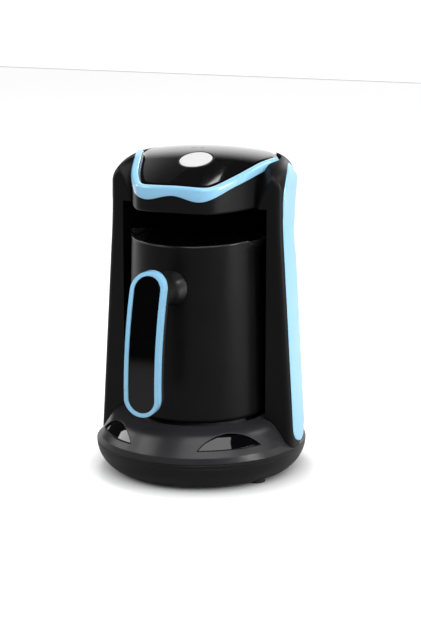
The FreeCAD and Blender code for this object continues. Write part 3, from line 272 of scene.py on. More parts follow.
plastics = {  # tones, patch size, roughness range, grain size and depth, edge, shine, coat
    "baseBlack": dict(tones=((0.0048, 0.0047, 0.0053), (0.0066, 0.0065, 0.0072)), patch=0.03,
                      rough=(0.40, 0.50), grain=0.00045, depth=0.00003, edge=0.0005, shine=0.25, coat=0.0),
    "deckSatin": dict(tones=((0.0150, 0.0146, 0.0164), (0.0185, 0.0180, 0.0202)), patch=0.025,
                      rough=(0.32, 0.38), grain=0.0004, depth=0.00002, edge=0.0009, shine=0.42, coat=0.0),
    "bodyBlack": dict(tones=((0.0026, 0.0026, 0.0030), (0.0038, 0.0038, 0.0043)), patch=0.035,
                      rough=(0.38, 0.47), grain=0.00045, depth=0.00003, edge=0.0006, shine=0.18, coat=0.0),
    "glossBlack": dict(tones=((0.0012, 0.0012, 0.0015), (0.0018, 0.0018, 0.0022)), patch=0.02,
                       rough=(0.02, 0.045), grain=0.012, depth=0.000012, edge=0.0003, shine=0.9, coat=0.9),
    "windowBlack": dict(tones=((0.0012, 0.0012, 0.0015), (0.0018, 0.0018, 0.0022)), patch=0.02,
                        rough=(0.025, 0.05), grain=0.012, depth=0.00001, edge=0.0003, shine=0.5, coat=0.25),
    "inlayBlack": dict(tones=((0.0010, 0.0010, 0.0013), (0.0015, 0.0015, 0.0019)), patch=0.02,
                       rough=(0.05, 0.08), grain=0.012, depth=0.00001, edge=0.0003, shine=0.4, coat=0.0),
    "skyBlue": dict(tones=((0.290, 0.628, 0.900), (0.302, 0.640, 0.906)), patch=0.03,
                    rough=(0.27, 0.30), grain=0.0006, depth=0.000008, edge=0.0010, shine=0.5, coat=1.0),
    "buttonWhite": dict(tones=((0.68, 0.68, 0.68), (0.695, 0.695, 0.695)), patch=0.008,
                        rough=(0.27, 0.31), grain=0.0005, depth=0.000006, edge=0.0004, shine=0.5, coat=0.1),
    "gripBlack": dict(tones=((0.0035, 0.0035, 0.0040), (0.0050, 0.0050, 0.0056)), patch=0.02,
                      rough=(0.30, 0.38), grain=0.0004, depth=0.00003, edge=0.0006, shine=0.6, coat=0.0),
    "footRubber": dict(tones=((0.016, 0.016, 0.016), (0.026, 0.026, 0.026)), patch=0.004,
                       rough=(0.7, 0.85), grain=0.0005, depth=0.00006, edge=0.0004, shine=0.3, coat=0.0),
    "sealSilicone": dict(tones=((0.10, 0.10, 0.105), (0.13, 0.13, 0.135)), patch=0.01,
                         rough=(0.5, 0.62), grain=0.0006, depth=0.00003, edge=0.0004, shine=0.4, coat=0.0),
    "partBlack": dict(tones=((0.010, 0.010, 0.011), (0.017, 0.017, 0.018)), patch=0.006,
                      rough=(0.42, 0.55), grain=0.0004, depth=0.00003, edge=0.0003, shine=0.4, coat=0.0),
    "rimCoating": dict(tones=((0.0040, 0.0040, 0.0045), (0.0060, 0.0060, 0.0066)), patch=0.01,
                       rough=(0.20, 0.28), grain=0.0004, depth=0.000008, edge=0.0002, shine=0.5, coat=0.0),
    "terminalGreen": dict(tones=((0.045, 0.20, 0.10), (0.06, 0.25, 0.13)), patch=0.006,
                          rough=(0.4, 0.5), grain=0.0004, depth=0.00003, edge=0.0003, shine=0.4, coat=0.0),
}


seamsWithPaintedShade = {
    "baseBlack": ((0.0203, 0.0004), (0.0176, 0.0003)),  # heights and widths of moulded grooves, which are also coloured darker as painted shade
    # tone: a darker colour painted into the grooves as painted shade, not a colour of the plastic
    "tone": (0.0005, 0.0005, 0.0005),
    "depth": 0.0004,
}

touch = {
    "smudge": (0.6, 5.0, (1, 1, 0.5)),  # where hands have been: share of a patch, detail, stretch
    "grainDetail": 2.0,
    "coatRough": 0.05,
}


def grooves(finish, lines):
    height = finish.add("SeparateXYZ")
    finish.join(finish.place, height.inputs[0])
    deepest = None
    for level, width in lines:
        away = finish.sum("ABSOLUTE", finish.sum("SUBTRACT", height.outputs["Z"], level))
        groove = finish.between(away, 1.0, 0.0, 0.0, width)
        deepest = groove if deepest is None else finish.sum("MAXIMUM", deepest, groove)
    return deepest


def plastic(name):
    look = plastics[name]
    finish = Finish(name)
    tone = finish.between(finish.noise(look["patch"]), 0.0, 1.0)
    colour = finish.mix(tone, *look["tones"])
    edge = finish.softEdge(look["edge"])
    if name in seamsWithPaintedShade:
        groove = grooves(finish, seamsWithPaintedShade[name])
        # painted shade: the groove mask darkens the colour, standing in for the shadow in the grooves
        colour = finish.mix(groove, colour, seamsWithPaintedShade["tone"])
        edge = finish.bump(finish.sum("SUBTRACT", 1.0, groove), seamsWithPaintedShade["depth"], edge)
    finish.join(colour, finish.shader.inputs["Base Color"])
    share, detail, stretch = touch["smudge"]
    smudge = finish.noise(look["patch"] * share, detail, stretch)
    finish.join(finish.between(smudge, *look["rough"]), finish.shader.inputs["Roughness"])
    skin = finish.bump(finish.noise(look["grain"], touch["grainDetail"]), look["depth"], edge)
    finish.join(skin, finish.shader.inputs["Normal"])
    finish.set(Specular_IOR_Level=look["shine"], Coat_Weight=look["coat"],
               Coat_Roughness=touch["coatRough"])
    return finish.mat


metals = {  # tones, roughness range, size of the brushing along x, y and z, depth
    "sheetSteel": dict(tones=((0.42, 0.42, 0.43), (0.55, 0.55, 0.56)), rough=(0.28, 0.42),
                       line=0.0004, stretch=(0.05, 1, 1), depth=0.00002),
    "screwSteel": dict(tones=((0.40, 0.40, 0.42), (0.56, 0.56, 0.58)), rough=(0.22, 0.36),
                       line=0.0005, stretch=(1, 1, 1), depth=0.00002),
}

metalPatch, metalEdge = 0.006, 0.0003


def metal(name):
    look = metals[name]
    finish = Finish(name)
    tone = finish.between(finish.noise(metalPatch, detail=4.0), 0.0, 1.0)
    finish.join(finish.mix(tone, *look["tones"]), finish.shader.inputs["Base Color"])
    brush = finish.noise(look["line"], stretch=look["stretch"])
    finish.join(finish.between(brush, *look["rough"]), finish.shader.inputs["Roughness"])
    skin = finish.bump(brush, look["depth"], finish.softEdge(metalEdge))
    finish.join(skin, finish.shader.inputs["Normal"])
    finish.set(Metallic=1.0)
    return finish.mat


plateLook = {
    "steel": ((0.33, 0.33, 0.34), (0.46, 0.46, 0.47)),
    "heated": (0.30, 0.25, 0.20),  # the straw tint that heat leaves over the element
    "ring": 0.0006,
    "heaterRadius": 0.025,
    "tint": (0.55, 0.007),  # how strong over the element, and how far it reaches
    "rough": (0.26, 0.42),
    "depth": 0.00004,
    "edge": 0.0004,
}


def hotPlateSteel():
    finish = Finish("turnedSteel")
    out = finish.fromAxis(jugY)
    turned = finish.add("TexNoise")
    turned.noise_dimensions = "1D"
    turned.inputs["Scale"].default_value = 1 / plateLook["ring"]
    turned.inputs["Detail"].default_value = 4.0
    finish.join(out, turned.inputs["W"])
    tone = finish.between(turned.outputs["Fac"], 0.0, 1.0)
    steel = finish.mix(tone, *plateLook["steel"])
    near = finish.sum("ABSOLUTE", finish.sum("SUBTRACT", out, plateLook["heaterRadius"]))
    strong, reach = plateLook["tint"]
    warm = finish.between(near, strong, 0.0, 0.0, reach)
    finish.join(finish.mix(warm, steel, plateLook["heated"]), finish.shader.inputs["Base Color"])
    rough = finish.between(turned.outputs["Fac"], *plateLook["rough"])
    finish.join(rough, finish.shader.inputs["Roughness"])
    skin = finish.bump(turned.outputs["Fac"], plateLook["depth"], finish.softEdge(plateLook["edge"]))
    finish.join(skin, finish.shader.inputs["Normal"])
    finish.set(Metallic=1.0)
    return finish.mat


jugLook = {
    "outside": ((0.0030, 0.0030, 0.0034), (0.0042, 0.0042, 0.0047)),
    "inside": ((0.010, 0.010, 0.011), (0.018, 0.018, 0.019)),
    "fleck": (0.16, 0.16, 0.165),
    "fleckSize": 0.0016,
    "fleckEdge": 0.18,
    "fleckShare": 0.7,
    "inwards": -0.004,  # faces that look further towards the axis than this are inside
    "bottom": 0.06,  # and so is what faces up below this height
    "patch": 0.02,
    "sheen": 0.012,
    "stretch": (1, 1, 0.35),
    "rough": (0.33, 0.40),
    "grain": 0.0005,
    "depth": 0.000015,
    "edge": 0.0004,
    "shine": 0.16,
}


def jugCoating():
    finish = Finish("jugCoating")
    shape = finish.add("NewGeometry")
    outwards = finish.add("VectorMath")
    outwards.operation = "SUBTRACT"
    outwards.inputs[1].default_value = (0, jugY, 0)
    finish.join(finish.place, outwards.inputs[0])
    flat = finish.add("VectorMath")
    flat.operation = "MULTIPLY"
    flat.inputs[1].default_value = (1, 1, 0)
    finish.join(outwards.outputs[0], flat.inputs[0])
    facing = finish.add("VectorMath")
    facing.operation = "DOT_PRODUCT"
    finish.join(flat.outputs[0], facing.inputs[0])
    finish.join(shape.outputs["True Normal"], facing.inputs[1])
    inner = finish.sum("LESS_THAN", facing.outputs["Value"], jugLook["inwards"])
    parts = finish.add("SeparateXYZ")
    finish.join(shape.outputs["True Normal"], parts.inputs[0])
    height = finish.add("SeparateXYZ")
    finish.join(finish.place, height.inputs[0])
    floor = finish.sum("MULTIPLY", finish.sum("GREATER_THAN", parts.outputs["Z"], 0.5),
                       finish.sum("LESS_THAN", height.outputs["Z"], jugLook["bottom"]))
    inside = finish.sum("MAXIMUM", inner, floor)
    tone = finish.between(finish.noise(jugLook["patch"]), 0.0, 1.0)
    outer = finish.mix(tone, *jugLook["outside"])
    lining = finish.mix(tone, *jugLook["inside"])
    flecks = finish.add("TexVoronoi")
    flecks.inputs["Scale"].default_value = 1 / jugLook["fleckSize"]
    finish.join(finish.place, flecks.inputs["Vector"])
    spot = finish.sum("LESS_THAN", flecks.outputs["Distance"], jugLook["fleckEdge"])
    spot = finish.sum("MULTIPLY", spot, jugLook["fleckShare"])
    speckled = finish.mix(spot, lining, jugLook["fleck"])
    finish.join(finish.mix(inside, outer, speckled), finish.shader.inputs["Base Color"])
    sheen = finish.noise(jugLook["sheen"], detail=5.0, stretch=jugLook["stretch"])
    finish.join(finish.between(sheen, *jugLook["rough"]), finish.shader.inputs["Roughness"])
    grain = finish.noise(jugLook["grain"], detail=2.0)
    fine = finish.bump(grain, jugLook["depth"], finish.softEdge(jugLook["edge"]))
    finish.join(fine, finish.shader.inputs["Normal"])
    finish.set(Specular_IOR_Level=jugLook["shine"])
    return finish.mat


boardTracks = {  # the tracks are the joints of a brick pattern
    "Scale": 1.0,
    "Brick Width": 0.0055,
    "Row Height": 0.0017,
    "Mortar Size": 0.00022,
    "Color1": (0.010, 0.085, 0.035, 1),
    "Color2": (0.012, 0.100, 0.042, 1),
    "Mortar": (0.030, 0.190, 0.085, 1),
}

boardSkin = {"patch": 0.01, "rough": (0.22, 0.36), "depth": 0.00003, "edge": 0.0002}


def boardGreen():
    finish = Finish("boardGreen")
    tracks = finish.add("TexBrick")
    for name, value in boardTracks.items():
        tracks.inputs[name].default_value = value
    finish.join(finish.place, tracks.inputs["Vector"])
    finish.join(tracks.outputs["Color"], finish.shader.inputs["Base Color"])
    gloss = finish.noise(boardSkin["patch"], detail=4.0)
    finish.join(finish.between(gloss, *boardSkin["rough"]), finish.shader.inputs["Roughness"])
    skin = finish.bump(tracks.outputs["Fac"], boardSkin["depth"], finish.softEdge(boardSkin["edge"]))
    finish.join(skin, finish.shader.inputs["Normal"])
    return finish.mat


clears = {  # colour and least roughness
    "lensSmoke": ((0.05, 0.02, 0.025), 0.05),
    "ledClear": ((0.80, 0.88, 0.95), 0.08),
}

clearLook = {
    "cloud": 0.004,
    "cloudTone": 0.8,
    "smear": 0.002,
    "roughRange": 0.06,
    "through": 0.7,
    "bending": 1.49,
}


def clear(name):
    colour, rough = clears[name]
    finish = Finish(name)
    cloud = finish.between(finish.noise(clearLook["cloud"], detail=4.0), 0.0, 1.0)
    cloudy = finish.mix(cloud, colour, [clearLook["cloudTone"] * part for part in colour])
    finish.join(cloudy, finish.shader.inputs["Base Color"])
    smear = finish.between(finish.noise(clearLook["smear"]), rough, rough + clearLook["roughRange"])
    finish.join(smear, finish.shader.inputs["Roughness"])
    finish.set(Transmission_Weight=clearLook["through"], IOR=clearLook["bending"])
    return finish.mat


finishes = {name: plastic(name) for name in plastics}
finishes.update({name: metal(name) for name in metals})
finishes["turnedSteel"] = hotPlateSteel()
finishes["jugCoating"] = jugCoating()
finishes["boardGreen"] = boardGreen()
finishes.update({name: clear(name) for name in clears})

wears = {
    "baseBlack": ["base_tray"],
    "deckSatin": ["base_deck"],
    "bodyBlack": ["tower_shell", "rear_cover", "head_housing", "head_floor"],
    "glossBlack": ["head_cover"],
    "windowBlack": ["deck_window_left", "deck_window_right"],
    "inlayBlack": ["handle_inlay"],
    "skyBlue": ["side_strip_left", "side_strip_right", "head_trim", "handle_ring"],
    "buttonWhite": ["button_cap"],
    "gripBlack": ["handle_core"],
    "footRubber": ["foot_front_left", "foot_front_right", "foot_rear_left", "foot_rear_right"],
    "sealSilicone": ["plate_seal"],
    "partBlack": ["button_bezel", "cord_gland", "thermostat", "relay", "tact_switch", "buzzer"],
    "terminalGreen": ["terminal_block"],
    "sheetSteel": ["heat_shield", "heater_ring"],
    "screwSteel": ["base_screws", "cover_screws", "head_screws", "board_screws", "handle_screw",
                   "button_spring"],
    "turnedSteel": ["hot_plate"],
    "jugCoating": ["jug_body"],
    "boardGreen": ["power_board", "control_board", "foam_sensor"],
    "lensSmoke": ["sensor_lens"],
    "ledClear": ["status_led"],
}

for finishName, wearers in wears.items():
    for node in wearers:
        slots = nodes[node].data.materials
        slots.clear()
        slots.append(finishes[finishName])
print("finishes on", sum(len(wearers) for wearers in wears.values()), "pieces")


# mesh helpers

def meshPiece(name, corners, faces, finish, sharpAngle=0.6):
    mesh = bpy.data.meshes.new(name)
    mesh.from_pydata(corners, [], faces)
    mesh.validate()
    for face in mesh.polygons:
        face.use_smooth = True
    mesh.set_sharp_from_angle(angle=sharpAngle)
    mesh.materials.append(finishes[finish])
    piece = bpy.data.objects.new(name, mesh)
    bpy.context.collection.objects.link(piece)
    return piece


def sweep(rings, closed):  # joins outlines of one point count each, end caps where it is open
    count = len(rings[0])
    corners = [corner for ring in rings for corner in ring]
    faces = []
    for here in range(len(rings) if closed else len(rings) - 1):
        there = (here + 1) % len(rings)
        for at in range(count):
            after = (at + 1) % count
            faces.append((here * count + at, there * count + at, there * count + after, here * count + after))
    if not closed:
        faces.append(tuple(range(count)))
        faces.append(tuple((len(rings) - 1) * count + at for at in reversed(range(count))))
    return corners, faces


def surfaceOf(node):
    mesh = nodes[node].data
    return BVHTree.FromPolygons([corner.co.copy() for corner in mesh.vertices],
                                [tuple(face.vertices) for face in mesh.polygons])


def eased(share):  # 0 to 1 with soft ends
    return share * share * (3 - 2 * share)


def clamped(value):
    return min(1, max(0, value))


def smoothed(values, passes):
    for _ in range(passes):
        values = [values[0]] + [(values[at - 1] + 2 * values[at] + values[at + 1]) / 4
                                for at in range(1, len(values) - 1)] + [values[-1]]
    return values


# head trim: a chunky bumper whose lip laps over the lid's edge

trimShape = {
    "steps": 220,
    "radius": 0.047,  # of the head, about
    "endY": 0.0080,  # how far behind the axis its square ends stand
    "readHeight": 0.1885,  # where the head's outline is read, under the trim
    "proud": 0.0010,
    "wall": 0.0026,
    "lip": 0.0039,
    "lipRise": 0.0007,
    "lap": ((-0.0020, 0.0001), (-0.0030, 0.0), (-0.0036, -0.0003)),  # over the lid's rounded edge
    "lapEnd": (0.0008, 0.0024),
    "back": 0.0046,
    "crest": (0.0016, 0.0024),  # the upper edge's rounding, across and down
    "crestSteps": 8,
    "foot": (0.0005, 0.00015),  # the lower edge's rounding
    "lift": 0.0016,  # how much more it stands over the lid at the sides
    "sides": (0.024, 0.014),  # the lift sets in at this X, and is full this much further out
    "rear": (0.020, 0.024, 0.35),  # it falls off from this far before the axis: length, share lost
    "readUnder": 0.185,
    "readOver": 0.23,
    "trusted": 0.004,  # behind this the CAD trim's lower edge isn't read but carried on
    "least": 0.0056,
    "rise": 0.36,  # climb of the lower edge to the rear
    "passes": (14, 3),  # smoothing of the upper and the lower edge
    "start": 0.2,
}


def headOutline(turns):
    housing = surfaceOf("head_housing")
    found = []
    for turn in turns:
        way = Vector((math.sin(turn), -math.cos(turn), 0))
        start = Vector((0, axisY, trimShape["readHeight"])) + way * trimShape["start"]
        found.append(housing.ray_cast(start, -way)[0])
    return found


def makeTrim():
    look = trimShape
    reach = math.radians(90) + math.asin(look["endY"] / look["radius"])
    turns = [reach * (2 * at / (look["steps"] - 1) - 1) for at in range(look["steps"])]
    outline = headOutline(turns)
    lid, cadTrim = surfaceOf("head_cover"), surfaceOf("head_trim")
    ways, lows, tops = [], [], []
    for at, point in enumerate(outline):
        along = outline[min(at + 1, len(outline) - 1)] - outline[max(at - 1, 0)]
        out = Vector((along.y, -along.x, 0)).normalized()
        ways.append(out)
        under = point + out * look["proud"] * 0.5
        hit = cadTrim.ray_cast(Vector((under.x, under.y, look["readUnder"])), Vector((0, 0, 1)))[0]
        lows.append(None if hit is None else hit.z)
        over = point - out * look["lip"]
        hit = lid.ray_cast(Vector((over.x, over.y, look["readOver"])), Vector((0, 0, -1)))[0]
        inner, width = look["sides"]
        ahead, length, fall = look["rear"]
        lift = look["lift"] * eased(clamped((abs(point.x) - inner) / width))
        lift *= 1 - fall * clamped((point.y - axisY + ahead) / length)
        tops.append(hit.z + look["lipRise"] + lift)
    known = [at for at, low in enumerate(lows)
             if low is not None and outline[at].y < axisY - look["trusted"]]
    for at in range(len(lows)):
        if at < known[0] or at > known[-1]:
            near = known[0] if at < known[0] else known[-1]
            lows[at] = lows[near] + look["rise"] * (outline[at].y - outline[near].y)
        elif lows[at] is None:
            lows[at] = lows[at - 1]
    tops = smoothed(tops, look["passes"][0])
    lows = smoothed([min(low, top - look["least"]) for low, top in zip(lows, tops)], look["passes"][1])
    rings = []
    proud, (across, down), (soft, near) = look["proud"], look["crest"], look["foot"]
    for point, out, low, top in zip(outline, ways, lows, tops):
        line = [(proud - look["wall"], low), (proud - soft, low), (proud - near, low + near),
                (proud, low + soft)]
        for step in range(look["crestSteps"] + 1):
            turn = math.radians(90) * step / look["crestSteps"]
            line.append((proud - across * (1 - math.cos(turn)), top - down * (1 - math.sin(turn))))
        line += [(away, top + height) for away, height in look["lap"]]
        line += [(-look["lip"], top - look["lapEnd"][0]),
                 (-look["lip"], top - look["lipRise"] - look["lapEnd"][1]),
                 (proud - look["wall"], top - look["back"])]
        rings.append([tuple(Vector((point.x, point.y, height)) + out * away) for away, height in line])
    trim = meshPiece("headTrim", *sweep(rings, False), "skyBlue", sharpAngle=0.7)
    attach(trim, "machine")
    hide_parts("head_trim")


makeTrim()
print("head trim made")


# jug: the rolled bead round its mouth

beadShape = {
    "steps": 240,
    "sides": 14,
    "radius": 0.00085,
    "mouth": 0.161,  # height of the mouth at the front
    "readBelow": (0.0035, 0.0006),  # the wall is read under the mouth, then close to the edge
    "inset": (0.0004, 0.0005),  # from the wall's face to where the edge is read, and to the bead
    "start": (0.09, 0.20),  # rays start this far out and this high
}


def makeBead():
    look = beadShape
    jug = surfaceOf("jug_body")
    middles = []
    for at in range(look["steps"]):
        turn = 2 * math.pi * at / look["steps"]
        way = Vector((math.sin(turn), -math.cos(turn), 0))
        side = Vector((0, jugY, look["mouth"] - look["readBelow"][0])) + way * look["start"][0]
        outside = jug.ray_cast(side, -way)[0]
        over = outside - way * look["inset"][0]
        edge = jug.ray_cast(Vector((over.x, over.y, look["start"][1])), Vector((0, 0, -1)))[0]
        level = edge.z if edge is not None else look["mouth"]
        side.z = level - look["readBelow"][1]
        outside = jug.ray_cast(side, -way)[0] or outside
        middles.append(Vector((outside.x, outside.y, level)) - way * look["inset"][1])
    rings = []
    for at, middle in enumerate(middles):
        ahead = (middles[(at + 1) % len(middles)] - middles[at - 1]).normalized()
        up = (Vector((0, 0, 1)) - ahead * ahead.z).normalized()
        out = ahead.cross(up)
        ring = []
        for side in range(look["sides"]):
            turn = 2 * math.pi * side / look["sides"]
            ring.append(tuple(middle + (out * math.cos(turn) + up * math.sin(turn)) * look["radius"]))
        rings.append(ring)
    bead = meshPiece("jugBead", *sweep(rings, True), "rimCoating", sharpAngle=1.2)
    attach(bead, "jug")


makeBead()
print("jug bead made")


# side strips: the same inlay with its top carried over the shoulder

stripShape = {  # front and rear edges as pairs of (y, z) in millimetres from the machine's axis
    "foot": (-1.0, 33.2, 9.0),
    "edges": [((-10, 33.2), (8, 33.2)), ((-10, 165), (8, 165)), ((-10, 173), (8.2, 172)),
              ((-10, 183), (8.8, 180.5)), ((-10, 190), (10.2, 187)), ((-9.2, 195.6), (12.2, 192.6)),
              ((-7.0, 200.2), (14.4, 197.6)), ((-3.4, 203.8), (16.6, 201.8)), ((1.6, 207.0), (18.2, 205.2)),
              ((7.4, 209.6), (18.8, 208.0)), ((12.6, 211.0), (18.2, 210.2)), ((16.2, 211.2), (16.8, 211.1))],
    "footRows": 11,
    "longest": 1.6,  # step along the strip
    "across": 20,
    "edgePasses": 6,
    "skinPasses": 10,
    "proud": (0.0011, 0.0006),  # over the shell, below and at the top
    "fade": (0.183, 0.200),
    "sunk": 0.0005,  # how much less than the CAD strip it stands out at the top
    "round": 0.0012,
    "deep": 0.0022,
    "start": 0.12,  # X from which rays are cast
}


def partWay(first, second, share):
    return tuple(a + (b - a) * share for a, b in zip(first, second))


def stripRows():
    look = stripShape
    middle, level, half = look["foot"]
    foot = []
    for step in range(1, look["footRows"] + 1):
        turn = math.radians(90) * step / (look["footRows"] + 1)
        reach, high = half * math.sin(turn), level - half * math.cos(turn)
        foot.append(((middle - reach, high), (middle + reach, high)))
    rows, edges = [], look["edges"]
    for first, second in zip(edges, edges[1:]):
        longest = max(math.dist(one, other) for one, other in zip(first, second))
        count = max(2, math.ceil(longest / look["longest"]))
        for step in range(count):
            rows.append([partWay(one, other, step / count) for one, other in zip(first, second)])
    rows.append(edges[-1])
    for _ in range(look["edgePasses"]):
        padded = foot[-1:] + rows
        rows = [[tuple((before[axis] + 2 * here[axis] + after[axis]) / 4 for axis in (0, 1))
                 for before, here, after in zip(*three)]
                for three in zip(padded, padded[1:], padded[2:])] + rows[-1:]
    return foot + rows


def smoothedGrid(grid, passes):
    last, end = len(grid) - 1, len(grid[0]) - 1
    for _ in range(passes):
        grid = [[(2 * grid[at][across] + grid[min(at + 1, last)][across] + grid[max(at - 1, 0)][across]
                  + grid[at][min(across + 1, end)] + grid[at][max(across - 1, 0)]) / 6
                 for across in range(end + 1)] for at in range(last + 1)]
    return grid


def stripSkin():  # where the strip's face runs: (y, z) places in rows, and X over each
    look = stripShape
    shell, strip = surfaceOf("tower_shell"), surfaceOf("side_strip_right")
    (below, above), (low, high) = look["proud"], look["fade"]
    places, skin = [], []
    for front, rear in stripRows():
        line, level = [], []
        for at in range(look["across"] + 1):
            share = 0.5 - 0.5 * math.cos(math.pi * at / look["across"])
            y, z = (part / 1000 for part in partWay(front, rear, share))
            start = Vector((look["start"], axisY + y, z))
            hits = [surface.ray_cast(start, Vector((-1, 0, 0)))[0] for surface in (shell, strip)]
            rise = clamped((z - low) / (high - low))
            lifts = (below + (above - below) * rise, -look["sunk"] * rise)
            found = [hit.x + lift for hit, lift in zip(hits, lifts) if hit is not None]
            line.append((axisY + y, z))
            level.append(max(found) if found else None)
        places.append(line)
        skin.append(level)
    for at, level in enumerate(skin):  # a ray past both surfaces takes the row before
        skin[at] = [skin[at - 1][across] if x is None else x for across, x in enumerate(level)]
    return places, smoothedGrid(skin, look["skinPasses"])


def makeStrips():
    look = stripShape
    places, skin = stripSkin()
    corners, under = [], []
    for line, level in zip(places, skin):
        for (y, z), x in zip(line, level):
            inside = min(math.dist(line[0], (y, z)), math.dist(line[-1], (y, z)))
            gap = max(0.0, look["round"] - inside)
            drop = look["round"] - math.sqrt(max(0.0, look["round"] ** 2 - gap ** 2))
            corners.append((x - drop, y, z))
            under.append((x - look["deep"], y, z))
    total, count = len(corners), look["across"]
    wide, last = count + 1, (len(places) - 1) * (count + 1)
    faces = []
    for one in (row + across for row in range(0, last, wide) for across in range(count)):
        face = (one, one + 1, one + wide + 1, one + wide)
        faces += [face, tuple(total + corner for corner in reversed(face))]
    border = [*range(0, last, wide), *range(last, last + count),
              *range(last + count, count, -wide), *range(count, 0, -1)]
    faces += [(one, other, total + other, total + one) for one, other in zip(border, border[1:] + border[:1])]
    for side, name in ((1, "Right"), (-1, "Left")):
        placed = [(side * x, y, z) for x, y, z in corners + under]
        turned = faces if side > 0 else [tuple(reversed(face)) for face in faces]
        piece = meshPiece("sideStrip" + name, placed, turned, "skyBlue", sharpAngle=0.8)
        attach(piece, "machine")
        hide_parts("side_strip_" + name.lower())


makeStrips()
print("side strips made")


# screws: pan heads with a cross recess on a threaded shank

screwShape = {
    "head": 0.0030,
    "high": 0.0020,
    "dome": 0.0007,
    "crown": 0.00025,
    "shank": 0.0015,
    "core": 0.00125,
    "pitch": 0.0008,
    "tip": (0.35, 0.0015),  # how thin the point is, and how long
    "overlap": 0.0001,
    "arm": (0.0017, 0.00042, 0.0011),  # the cross: half length, half width and depth
    "armSlope": (0.0006, 0.00022),
    "rings": 22,
    "sides": 56,
    "turnSteps": 6,
    "shankSides": 18,
    "touch": 0.0002,  # boxes this near belong to one screw
}


def circle(radius, count, height):
    return [(radius * math.cos(2 * math.pi * at / count), radius * math.sin(2 * math.pi * at / count), height)
            for at in range(count)]


def solidBoxes(mesh):  # low and high corner of each solid in a node
    leader = list(range(len(mesh.vertices)))

    def top(corner):
        while leader[corner] != corner:
            leader[corner] = leader[leader[corner]]
            corner = leader[corner]
        return corner

    for one, other in (tuple(edge.vertices) for edge in mesh.edges):
        leader[top(one)] = top(other)
    groups = {}
    for corner in range(len(leader)):
        groups.setdefault(top(corner), []).append(mesh.vertices[corner].co)
    boxes, touch = [], screwShape["touch"]
    for places in groups.values():
        low, high = [Vector([pick(place[axis] for place in places) for axis in range(3)])
                     for pick in (min, max)]
        for box in boxes:
            if all(low[axis] < box[1][axis] + touch and high[axis] > box[0][axis] - touch
                   for axis in range(3)):
                box[0] = Vector([min(low[axis], box[0][axis]) for axis in range(3)])
                box[1] = Vector([max(high[axis], box[1][axis]) for axis in range(3)])
                break
        else:
            boxes.append([low, high])
    return boxes


def crossDepth(x, y):
    look = screwShape
    (long, wide, depth), (endSlope, sideSlope) = look["arm"], look["armSlope"]
    deepest = 0.0
    for along, aside in ((abs(x), abs(y)), (abs(y), abs(x))):
        fall = clamped((wide - aside) / sideSlope) * clamped((long - along) / endSlope)
        deepest = max(deepest, fall)
    return deepest * depth


def joined(first, second, count):  # faces between two rings of corners
    return [(first + at, first + (at + 1) % count, second + (at + 1) % count, second + at)
            for at in range(count)]


def screwMesh(length):  # along +Z from the head's top at 0
    look = screwShape
    head, high, sides, around = look["head"], look["high"], look["sides"], look["shankSides"]
    corners, faces = [], []
    for ring in range(1, look["rings"] + 1):
        away = head * ring / look["rings"]
        past = max(0.0, away - (head - look["dome"]))
        edge = look["dome"] - math.sqrt(max(0.0, look["dome"] ** 2 - past ** 2))
        crown = look["crown"] * (away / head) ** 2
        corners += [(x, y, z + crossDepth(x, y)) for x, y, z in circle(away, sides, edge + crown)]
    outer, centre, low = len(corners) - sides, len(corners), len(corners) + 1
    corners += [(0, 0, look["arm"][2])] + circle(head, sides, high)
    faces += [(centre, (at + 1) % sides, at) for at in range(sides)]
    for first in range(0, outer, sides):
        faces += joined(first, first + sides, sides)
    faces += joined(outer, low, sides) + [tuple(range(low, low + sides))]
    levels = int((length - high) / look["pitch"] * look["turnSteps"])
    thin, long = look["tip"]
    start = len(corners)
    for level in range(levels + 1):
        down = high - look["overlap"] + (length - high + look["overlap"]) * level / levels
        point = min(1.0, thin + (length - down) / long * (1 - thin))
        for at in range(around):
            wave = abs(((down / look["pitch"] - at / around) % 1.0) * 2 - 1)
            away = (look["core"] + (look["shank"] - look["core"]) * wave) * point
            corners.append(circle(away, around, down)[at])
    for level in range(levels):
        faces += joined(start + level * around, start + (level + 1) * around, around)
    faces.append(tuple(range(start + levels * around, len(corners))))
    return corners, faces


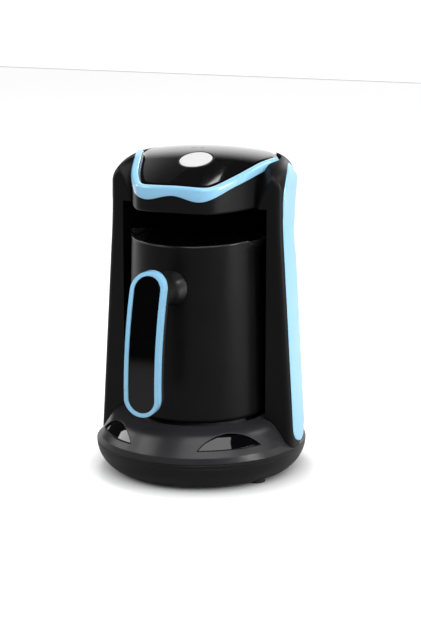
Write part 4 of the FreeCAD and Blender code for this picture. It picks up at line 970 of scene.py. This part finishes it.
def makeScrews(node, way, twist):
    way = Vector(way)
    turn = Vector((0, 0, 1)).rotation_difference(way).to_matrix()
    corners, faces = [], []
    for at, (low, high) in enumerate(solidBoxes(nodes[node].data)):
        length = abs((high - low).dot(way))
        top = (low + high) / 2 - way * length / 2
        spun = turn @ Matrix.Rotation(twist * (at + 1), 3, "Z")
        plain, sides = screwMesh(length)
        first = len(corners)
        corners += [tuple(top + spun @ Vector(corner)) for corner in plain]
        faces += [tuple(first + corner for corner in face) for face in sides]
    piece = meshPiece(node.split("_")[0] + "Screws", corners, faces, "screwSteel", sharpAngle=0.5)
    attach(piece, "machine")
    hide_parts(node)


makeScrews("base_screws", (0, 0, 1), 0.7)
makeScrews("cover_screws", (0, -1, 0), 0.9)
makeScrews("head_screws", (0, 0, 1), 1.1)
print("screws made")


# button spring: the same coil, swept as a round wire

springShape = {
    "axis": (0.0, -0.309017, 0.951057),
    "wire": 0.00035,
    "turns": 3,
    "steps": 40,  # per turn
    "sides": 10,
    "travel": 0.0015,
}


def makeSpring():
    look = springShape
    wire = look["wire"]
    way, across = Vector(look["axis"]), Vector((1, 0, 0))
    aside = way.cross(across)
    spots = [corner.co for corner in nodes["button_spring"].data.vertices]
    sideways, endways, lengthways = [[pick(spot.dot(line) for spot in spots) for pick in (min, max)]
                                     for line in (across, aside, way)]
    centre = across * sum(sideways) / 2 + aside * sum(endways) / 2
    radius = (sideways[1] - sideways[0]) / 2 - wire
    bottom, top = lengthways
    count = look["turns"] * look["steps"]
    rings = []
    for at in range(count + 1):
        turn = 2 * math.pi * at / look["steps"]
        out = across * math.cos(turn) + aside * math.sin(turn)
        middle = centre + out * radius + way * (bottom + wire + (top - bottom - 2 * wire) * at / count)
        rings.append([tuple(middle + out * x + way * y) for x, y, _ in circle(wire, look["sides"], 0)])
    spring = meshPiece("buttonSpring", *sweep(rings, False), "screwSteel", sharpAngle=1.2)
    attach(spring, "machine")
    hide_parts("button_spring")
    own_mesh(spring)


makeSpring()
print("button spring made")


# closing
